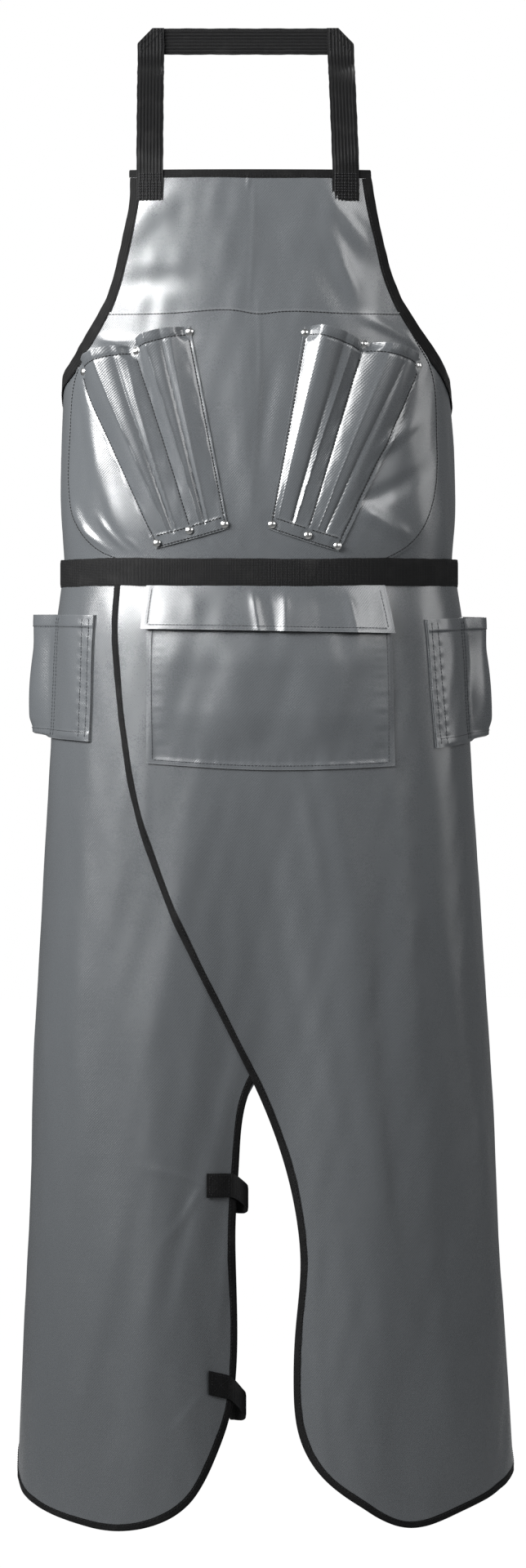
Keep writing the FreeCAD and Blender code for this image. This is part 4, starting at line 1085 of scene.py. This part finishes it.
def box_stitch(shell, top, rows):
    """A sewn box with a cross over part of a ribbon's face, from its grid of top points."""
    block = top[rows[0]:rows[1]]
    normal = grid_normals(block)
    face = np.cross(block[1, 0] - block[0, 0], block[0, -1] - block[0, 0])
    out = np.sign(np.sum(face * normal[0, 0]))
    n, m = block.shape[:2]
    t = np.linspace(0, 1, 60)
    lines = []
    for (a0, b0), (a1, b1) in BOX_LINES:
        i, j = (a0 + (a1 - a0) * t) * (n - 1), (b0 + (b1 - b0) * t) * (m - 1)
        lines.append((mixed_at(block, i, j), mixed_at(normal, i, j) * out))
    stitch_rows(shell, lines, pitch=2.6, length=2.0, radius=0.28)


def strap(names, frames, width, boxes, node, body="apron"):
    """A webbing strap and the boxes sewn in it, each box from one row to another."""
    shell, seams = Shell(), Shell()
    top = ribbon(shell, *frames, width)
    piece = finish_piece(shell.build(names[0], WEB), body, [node])
    for rows in boxes:
        box_stitch(seams, top, rows)
    return piece, finish_piece(seams.build(names[1], BLACK_THREAD, 80), body)


BELT_END_ANGLE = 118.0
BELT_START_ANGLE = -165.5
TAIL_LIFT = BELT_LIFT + WEBBING + 0.6
WAIST_BUCKLE_Y = WAIST_HALF_DEPTH + BELT_LIFT + WEBBING / 2
WAIST_SOCKET_X = box_mm("waist_buckle_socket")[0][0]
# how far the belt's inner face stands off the form: at its free end, over each panel and the flap
BELT_SPOTS = [(-140, 5.7), (-115, 4.0), (-104, 3.4), (-64, 3.4), (-44, 7.5), (47, 7.5), (68, 5.3),
              (104, 5.3), (118, 5.7)]


def waist_belt():
    angles = np.linspace(BELT_START_ANGLE + 2, BELT_END_ANGLE, 240)
    lift = np.interp(angles, *zip(*BELT_SPOTS))
    run = form(angles, 0.0, lift + WEBBING / 2 - cinch(angles, 0.0))[:, :2]
    # the buckle's bar is behind the wearer; the belt reaches it from -X
    loop = round_bar(WAIST_SOCKET_X + BAR_MIDDLE, WAIST_BUCKLE_Y, 1, 1, 20.0)
    # the run goes round the body against the clock seen from above, so its right is outward
    middle, across, up = plan_frames(np.concatenate([cubic(loop), run[2:]]), 0.0)
    along = distances(middle)
    dip = 0.5 * np.sin(along / 47.0) + 0.25 * np.sin(along / 19.0 + 1)
    middle[:, 2] = dip * smoothstep(along, 40, 120)
    boxes = [np.searchsorted(along, (38.0, 54.0)), (np.searchsorted(along, along[-1] - 26), len(along) - 4)]
    names = ("waist_belt_webbing", "waist_belt_thread")
    strap(names, (middle, across, up), BELT_WIDTH, boxes, "waist_belt")


def adjuster_strap():
    angles = np.linspace(156, 112.5, 60)
    run = form(angles, 0.0, TAIL_LIFT + WEBBING / 2 - cinch(angles, 0.0))[:, :2]
    bar_x = WAIST_SOCKET_X + BUCKLE_LENGTH - BAR_MIDDLE
    loop = cubic(round_bar(bar_x, WAIST_BUCKLE_Y + 0.2, -1, 1, 16.0))
    middle, across, up = plan_frames(np.concatenate([loop, run]), 0.0)
    along = distances(middle)
    boxes = [(np.searchsorted(along, along[-1] - 22), len(along) - 5), np.searchsorted(along, (34.0, 48.0))]
    names = ("waist_adjuster_webbing", "waist_adjuster_thread")
    things = strap(names, (middle, across, -up), BELT_WIDTH - 0.5, boxes, "waist_adjuster_strap", None)
    end, near = run[-1] * MM, np.array([bar_x + 12, WAIST_BUCKLE_Y]) * MM
    for thing in things:
        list(end)
        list(near)
        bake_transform(thing)


# one row per leg strap: side (-1 left, 1 right), x of the sewn end, x of the fold, its tilt
# as rise per mm, and how far its folded edge drops
LEG_STRAPS = {
    "left_leg_upper": (-1, -47.0, -9.5, 0.0, 15.0),
    "left_leg_lower": (-1, -45.0, -11.5, -0.22, 17.0),
    "right_leg_upper": (1, 68.0, 29.0, 0.0, 3.0),
    "right_leg_lower": (1, 68.0, 25.0, 0.0, 3.0),
}
LEG_STRAP_WIDTH = 22.0


def buckle_middle(node, bar_low):
    """x of a buckle's bar, at its low or high end, then y and z of its middle."""
    low, high = box_mm(node)
    bar_x = (low[0] + BAR_MIDDLE) if bar_low else (high[0] - BAR_MIDDLE)
    return bar_x, (low[1] + high[1]) / 2, (low[2] + high[2]) / 2


def leg_strap(name):
    """The long strap, from its sewn end on the panel round behind the leg to its buckle."""
    side, sewn_x, fold_x, tilt, drop = LEG_STRAPS[name]
    bar_x, y, z = buckle_middle(name + "_socket", side > 0)
    if side < 0:
        steps, lift, end_x = (0.0, 0.25, 0.5, 0.75), LEG_STRAP_LIFT + WEBBING / 2, fold_x - 5.5
    else:
        # sewn to the inside of the right panel
        steps, end_x = (0.0, 0.3, 0.6, 0.9), fold_x + 14.0
        lift = RIGHT_PANEL_LIFT - 0.35 - 1.6 - WEBBING / 2
    points = []
    for step in steps:
        x = sewn_x + step * (end_x - sewn_x)
        points.append((x, float(draped(front(x, z)[0], z, lift)[1])))
    edge_y = points[-1][1]
    if side < 0:
        points += [(fold_x - 3.0, edge_y + 0.9), (fold_x, edge_y + 4.4), (fold_x - 3.5, edge_y + 10.0)]
        points += [(-27.0, -50.0)]
    else:
        points += [(fold_x + 11.5, edge_y + 5.5), (fold_x + 11.0, edge_y + 14.0), (41.0, -50.0)]
    points += [(side * 40.0, -5.0), (side * 54.0, 45.0), (side * 80.0, 78.0)]
    points += [(bar_x - side * 15.0, y + 1.2)] + round_bar(bar_x, y, side, 1, 15.0)[::-1]
    middle, across, up = plan_frames(cubic(points), z)
    along = distances(middle)
    # the strap hangs a little between the leg and the buckle
    sag = -4.0 * smoothstep(along, 45, 150) * (1 - smoothstep(along, 180, along[-1] - 45))
    leaving = abs(fold_x - sewn_x)
    sag = sag - drop * smoothstep(along, leaving - 14, leaving + 12) * (1 - smoothstep(along, 70, 150))
    sag = sag + tilt * (np.minimum(along, leaving) - leaving / 2) * (1 - smoothstep(along, 60, 140))
    middle[:, 2] += sag
    names = (name + "_webbing", name + "_webbing_thread")
    boxes = [(3, np.searchsorted(along, 24.0))]
    strap(names, (middle, across, up), LEG_STRAP_WIDTH, boxes, name + "_strap")


def leg_tab(name):
    """The short strap from the plug's bar to the back edge of the panel."""
    side = LEG_STRAPS[name][0]
    bar_x, y, z = buckle_middle(name + "_plug", side < 0)
    lift = (LEFT_PANEL_LIFT if side < 0 else RIGHT_PANEL_LIFT) + CLOTH + 0.35 + WEBBING / 2 + 1.0
    points = round_bar(bar_x, y, -side, 1, 11.0)
    points += [tuple(draped(side * angle, z, lift)[:2]) for angle in (114.0, 109.5, 105.0)]
    middle, across, up = plan_frames(cubic(points), z)
    names = (name + "_tab_webbing", name + "_tab_thread")
    boxes = [(len(middle) - 46, len(middle) - 4)]
    things = strap(names, (middle, across, -side * up), LEG_STRAP_WIDTH, boxes, name + "_tab", None)
    start, end = middle[-1] * MM, np.array([bar_x + side * 4.0, y, z]) * MM
    for thing in things:
        tuple(start)
        tuple(end)
        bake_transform(thing)


# ---------------------------------------------------------------- neck strap
LEFT_STRAP_X = (-111.2, -87.0)
RIGHT_STRAP_FOOT_X = (67.5, 93.0)
RIGHT_STRAP_HEAD_X = (63.6, 87.6)
neck_low, neck_high = box_mm("neck_strap")
NECK_TOP_Z = neck_high[2]
NECK_WIDTH = 25.0
NECK_Y = 20.0
STRAP_FOOT_Z = neck_low[2]
STRAP_END_BOTTOM = box_mm("left_neck_strap_end")[0][2]
CORNER_CUT = 14.0


SEWN_TOP_Z, FREE_Z = 366.5, 383.0      # where the strap stops being sewn to the bib, and is all loop
FACING = [0.0, -1.0, 0.0]


def neck_run(shell, tacks, foot_x, head_x, outer):
    """A side run, from its sewn end on the bib over the shoulder to the back run."""
    middle_x = sum(foot_x) / 2
    foot_y = float(form(front(foot_x[0] + 12, BIB_TOP)[0], BIB_TOP, STRAP_END_LIFT)[1]) - WEBBING
    lift = STRAP_END_LIFT + 0.5 + WEBBING / 2
    path = [(float(form(front(middle_x, z)[0], z, lift)[1]), z)
            for z in np.linspace(STRAP_END_BOTTOM, SEWN_TOP_Z, 6)]
    path += [(foot_y - 0.1, STRAP_FOOT_Z + 4), (foot_y + 21, 409), (foot_y + 55, 443)]
    path += [(foot_y + 88, 463), (NECK_Y - 7, 474), (NECK_Y - 1.6, 482), (NECK_Y - 1.0, 489)]
    path += [(NECK_Y - 1.0, 496), (NECK_Y - 1.0, NECK_TOP_Z)]
    dense, ahead = even_run(cubic(path), 1.2)
    share = np.clip((dense[:, 1] - STRAP_FOOT_Z) / (NECK_TOP_Z - STRAP_FOOT_Z), 0, 1)
    low = foot_x[0] + share * (head_x[0] - foot_x[0])
    high = foot_x[1] + share * (head_x[1] - foot_x[1])
    middle = np.column_stack([(low + high) / 2, dense])
    up = np.column_stack([np.zeros(len(dense)), -ahead[:, 1], ahead[:, 0]])
    across = np.tile([1.0, 0.0, 0.0], (len(dense), 1))
    heights = np.minimum(dense[:, 1], BIB_TOP)

    def bib_y(xs):
        return np.array([form(front(x, z)[0], z, 0)[1] for x, z in zip(xs, heights)])

    def shape(along, b):
        # follow the bib sideways where the end is sewn to it, and cut the top corner off
        out = np.zeros((len(along), len(b), 3))
        sewn_share = 1 - smoothstep(middle[:, 2], 366, 392)
        near_top = smoothstep(along, along[-1] - 22, along[-1]) ** 2
        there = bib_y(middle[:, 0])
        for k, offset in enumerate(b):
            out[:, k, 1] += (bib_y(middle[:, 0] + offset * NECK_WIDTH) - there) * sewn_share
            out[:, k, 2] -= max(0, CORNER_CUT - (0.5 - offset * outer) * NECK_WIDTH) * near_top
            ragged = 0.5 * math.sin(offset * 40) + 0.4 * math.sin(offset * 93)
            out[:, k, 2] -= ragged * (1 - smoothstep(along, 0, 2.5))
        return out

    top = ribbon(shell, middle, across, up, NECK_WIDTH - 0.4, ribs="along", cut=shape)
    rows = np.searchsorted(middle[:, 2], np.arange(STRAP_END_BOTTOM + 2, 366, 2.7))
    lines = [(top[row, 2:-2] + [0, -0.3, 0], np.tile(FACING, (top.shape[1] - 4, 1))) for row in rows]
    stitch_rows(tacks, lines, pitch=2.3, length=2.1, radius=0.62)
    return middle


def neck_strap():
    shell, seams, tacks = Shell(), Shell(), Shell()
    left = neck_run(shell, tacks, LEFT_STRAP_X, LEFT_STRAP_X, -1)
    neck_run(shell, tacks, RIGHT_STRAP_FOOT_X, RIGHT_STRAP_HEAD_X, 1)
    count = 170
    x = np.linspace(LEFT_STRAP_X[0] + 0.4, RIGHT_STRAP_HEAD_X[1] + 0.4, count)
    z = np.full(count, NECK_TOP_Z - NECK_WIDTH / 2)
    middle = np.column_stack([x, np.full(count, NECK_Y + WEBBING / 2 + 0.35), z])

    def corner(along, b):
        out = np.zeros((len(along), len(b), 3))
        for k, offset in enumerate(b):
            cut = max(0.0, CORNER_CUT - (0.5 - offset) * NECK_WIDTH)
            out[:, k, 0] += cut * (1 - smoothstep(along, 0, 24)) ** 1.5
            out[:, k, 0] -= cut * smoothstep(along, along[-1] - 24, along[-1]) ** 1.5
        return out

    upright = np.tile([0.0, 0.0, 1.0], (count, 1))
    ribbon(shell, middle, upright, np.tile(FACING, (count, 1)), NECK_WIDTH - 0.6, ribs="along", cut=corner)
    t = np.linspace(0, 1, 30)[:, None]
    low, high, y = NECK_TOP_Z - NECK_WIDTH + 2.5, NECK_TOP_Z - 2.5, NECK_Y - 1.9
    for x_span, turn in ((LEFT_STRAP_X, 1), (RIGHT_STRAP_HEAD_X, -1)):
        # a is the outer side of the run and b the inner one
        a, b = (x_span[0] + 2.5, x_span[1] - 2.5)[::turn]
        corners = [(a, low), (b, low), (b, high), (a + 13 * turn, high), (a, high - 13), (a, low), (b, high)]
        lines = []
        for (xa, za), (xb, zb) in zip(corners, corners[1:]):
            line = np.array([xa, y, za]) + t * np.array([xb - xa, 0, zb - za])
            lines.append((line, np.tile(FACING, (30, 1))))
        stitch_rows(seams, lines, pitch=2.6, length=2.1, radius=0.3)
    piece = shell.build("neck_strap_webbing", WEB)
    sewn = seams.build("neck_strap_thread", BLACK_THREAD, 80)
    finish_piece(tacks.build("neck_strap_tack_thread", TACK_THREAD, 80))
    finish_piece(piece, None, ["neck_strap", "left_neck_strap_end", "right_neck_strap_end"])
    finish_piece(sewn, None)
    y = left[0, 1] * MM
    for thing in (piece, sewn):
        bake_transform(thing)


# ---------------------------------------------------------------- build
bib()
bib_bindings()
chest()
tool_pocket("left", LEFT_TOOL_POCKET, LEFT_RIVETS, LEFT_TUBES)
tool_pocket("right", RIGHT_TOOL_POCKET, RIGHT_RIVETS, RIGHT_TUBES)
leg("left", left_leg_edge(), LEFT_PANEL_LIFT, 374, 555)
leg("right", right_leg_edge(), RIGHT_PANEL_LIFT, 362, 531)
front_pocket()
flap()
pouch("left", LEFT_POUCH, LEFT_POUCH_LIFT)
pouch("right", RIGHT_POUCH, RIGHT_POUCH_LIFT)
waist_belt()
adjuster_strap()
for leg_name in LEG_STRAPS:
    leg_strap(leg_name)
    leg_tab(leg_name)
neck_strap()

for node, thing in frame["nodes"].items():
    if thing.hide_render:
        continue
    thing.data.materials.clear()
    thing.data.materials.append(METAL if "rivet" in node else PLASTIC)

# ---------------------------------------------------------------- stage
low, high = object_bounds()
FLOOR_GAP = 0.012


def floor():
    """A pale floor; the camera sees it glow as white as the room."""
    reach = 30.0
    corners = [(-reach, -reach), (reach, -reach), (reach, reach), (-reach, reach)]
    mesh = bpy.data.meshes.new("floor")
    mesh.from_pydata([(x, y, low[2] - FLOOR_GAP) for x, y in corners], [], [(0, 1, 2, 3)])
    material, surface, node = shader("pale_floor")
    fill(surface, {"Base Color": (0.3, 0.3, 0.3, 1), "Roughness": 0.9})
    glow = node("ShaderNodeEmission", {"Color": (1, 1, 1, 1), "Strength": 1.04})
    seen = node("ShaderNodeLightPath", {}, "Is Camera Ray")
    mottle = ramp(node, node("ShaderNodeTexNoise", {"Scale": 3.0}), 0.955, 0.975)
    share = maths(node, seen, mottle, "MULTIPLY")
    blend = node("ShaderNodeMixShader", {0: share, 1: surface.outputs[0], 2: glow})
    fill(material.node_tree.nodes["Material Output"], {0: blend})
    mesh.materials.append(material)
    thing = bpy.data.objects.new("floor", mesh)
    bpy.context.scene.collection.objects.link(thing)


WORLD_FILL, WORLD_GLOSS = 0.29, 0.13


def world():
    """White behind the object, dim to the rest so that the gloss keeps its darks."""
    sky = bpy.data.worlds.new("studio")
    bpy.context.scene.world = sky
    sky.use_nodes = True
    nodes = sky.node_tree.nodes
    seen, glossy = nodes.new("ShaderNodeLightPath"), nodes.new("ShaderNodeMapRange")
    fill(glossy, {0: seen.outputs["Is Glossy Ray"], 3: WORLD_FILL, 4: WORLD_GLOSS})
    back, white = nodes["Background"], nodes.new("ShaderNodeBackground")
    fill(back, {0: (0.96, 0.98, 1, 1), 1: glossy.outputs[0]})
    fill(white, {0: (1, 1, 1, 1)})
    mixed = nodes.new("ShaderNodeMixShader")
    fill(mixed, {0: seen.outputs["Is Camera Ray"], 1: back.outputs[0], 2: white.outputs[0]})
    fill(nodes["World Output"], {0: mixed.outputs[0]})


def soft_light(name, place, aim, power, size, spread=180):
    lamp = bpy.data.lights.new(name, "AREA")
    lamp.shape, lamp.size, lamp.size_y, lamp.energy = "RECTANGLE", size[0], size[1], power
    lamp.spread = math.radians(spread)
    thing = bpy.data.objects.new(name, lamp)
    bpy.context.scene.collection.objects.link(thing)
    thing.location = place
    thing.rotation_euler = (Vector(aim) - Vector(place)).to_track_quat("-Z", "Y").to_euler()


def camera():
    distance, frame_height = 12.0, 1.44
    lens = bpy.data.cameras.new("photo_view")
    lens.sensor_fit, lens.sensor_height = "VERTICAL", 24.0
    lens.lens = lens.sensor_height * (distance - 0.06) / frame_height
    lens.clip_end = 100.0
    thing = bpy.data.objects.new("photo_view", lens)
    bpy.context.scene.collection.objects.link(thing)
    thing.location = (0.0045, -distance, -0.1939)
    thing.rotation_euler = (math.radians(90), 0, 0)
    bpy.context.scene.camera = thing


floor()
world()
soft_light("key", (-1.4, -2.5, 1.5), (-0.05, -0.1, 0.15), 9, (0.9, 1.1), 95)
soft_light("left_box", (-1.88, -1.17, 0.95), (-0.1, 0, 0.35), 37, (1.9, 1.1), 85)
soft_light("fill", (1.7, -1.9, 1.1), (0.1, 0, 0.3), 4.5, (1.0, 1.2), 80)
soft_light("back", (0.6, 2.6, 1.4), (0, 0, -0.1), 58, (1.6, 1.6))
soft_light("right_box", (2.4, 0.0, 0.7), (0.1, 0, 0.1), 5, (0.9, 1.4), 120)
camera()
bpy.context.scene.view_settings.view_transform = "Standard"
bpy.context.scene.view_settings.look = "None"
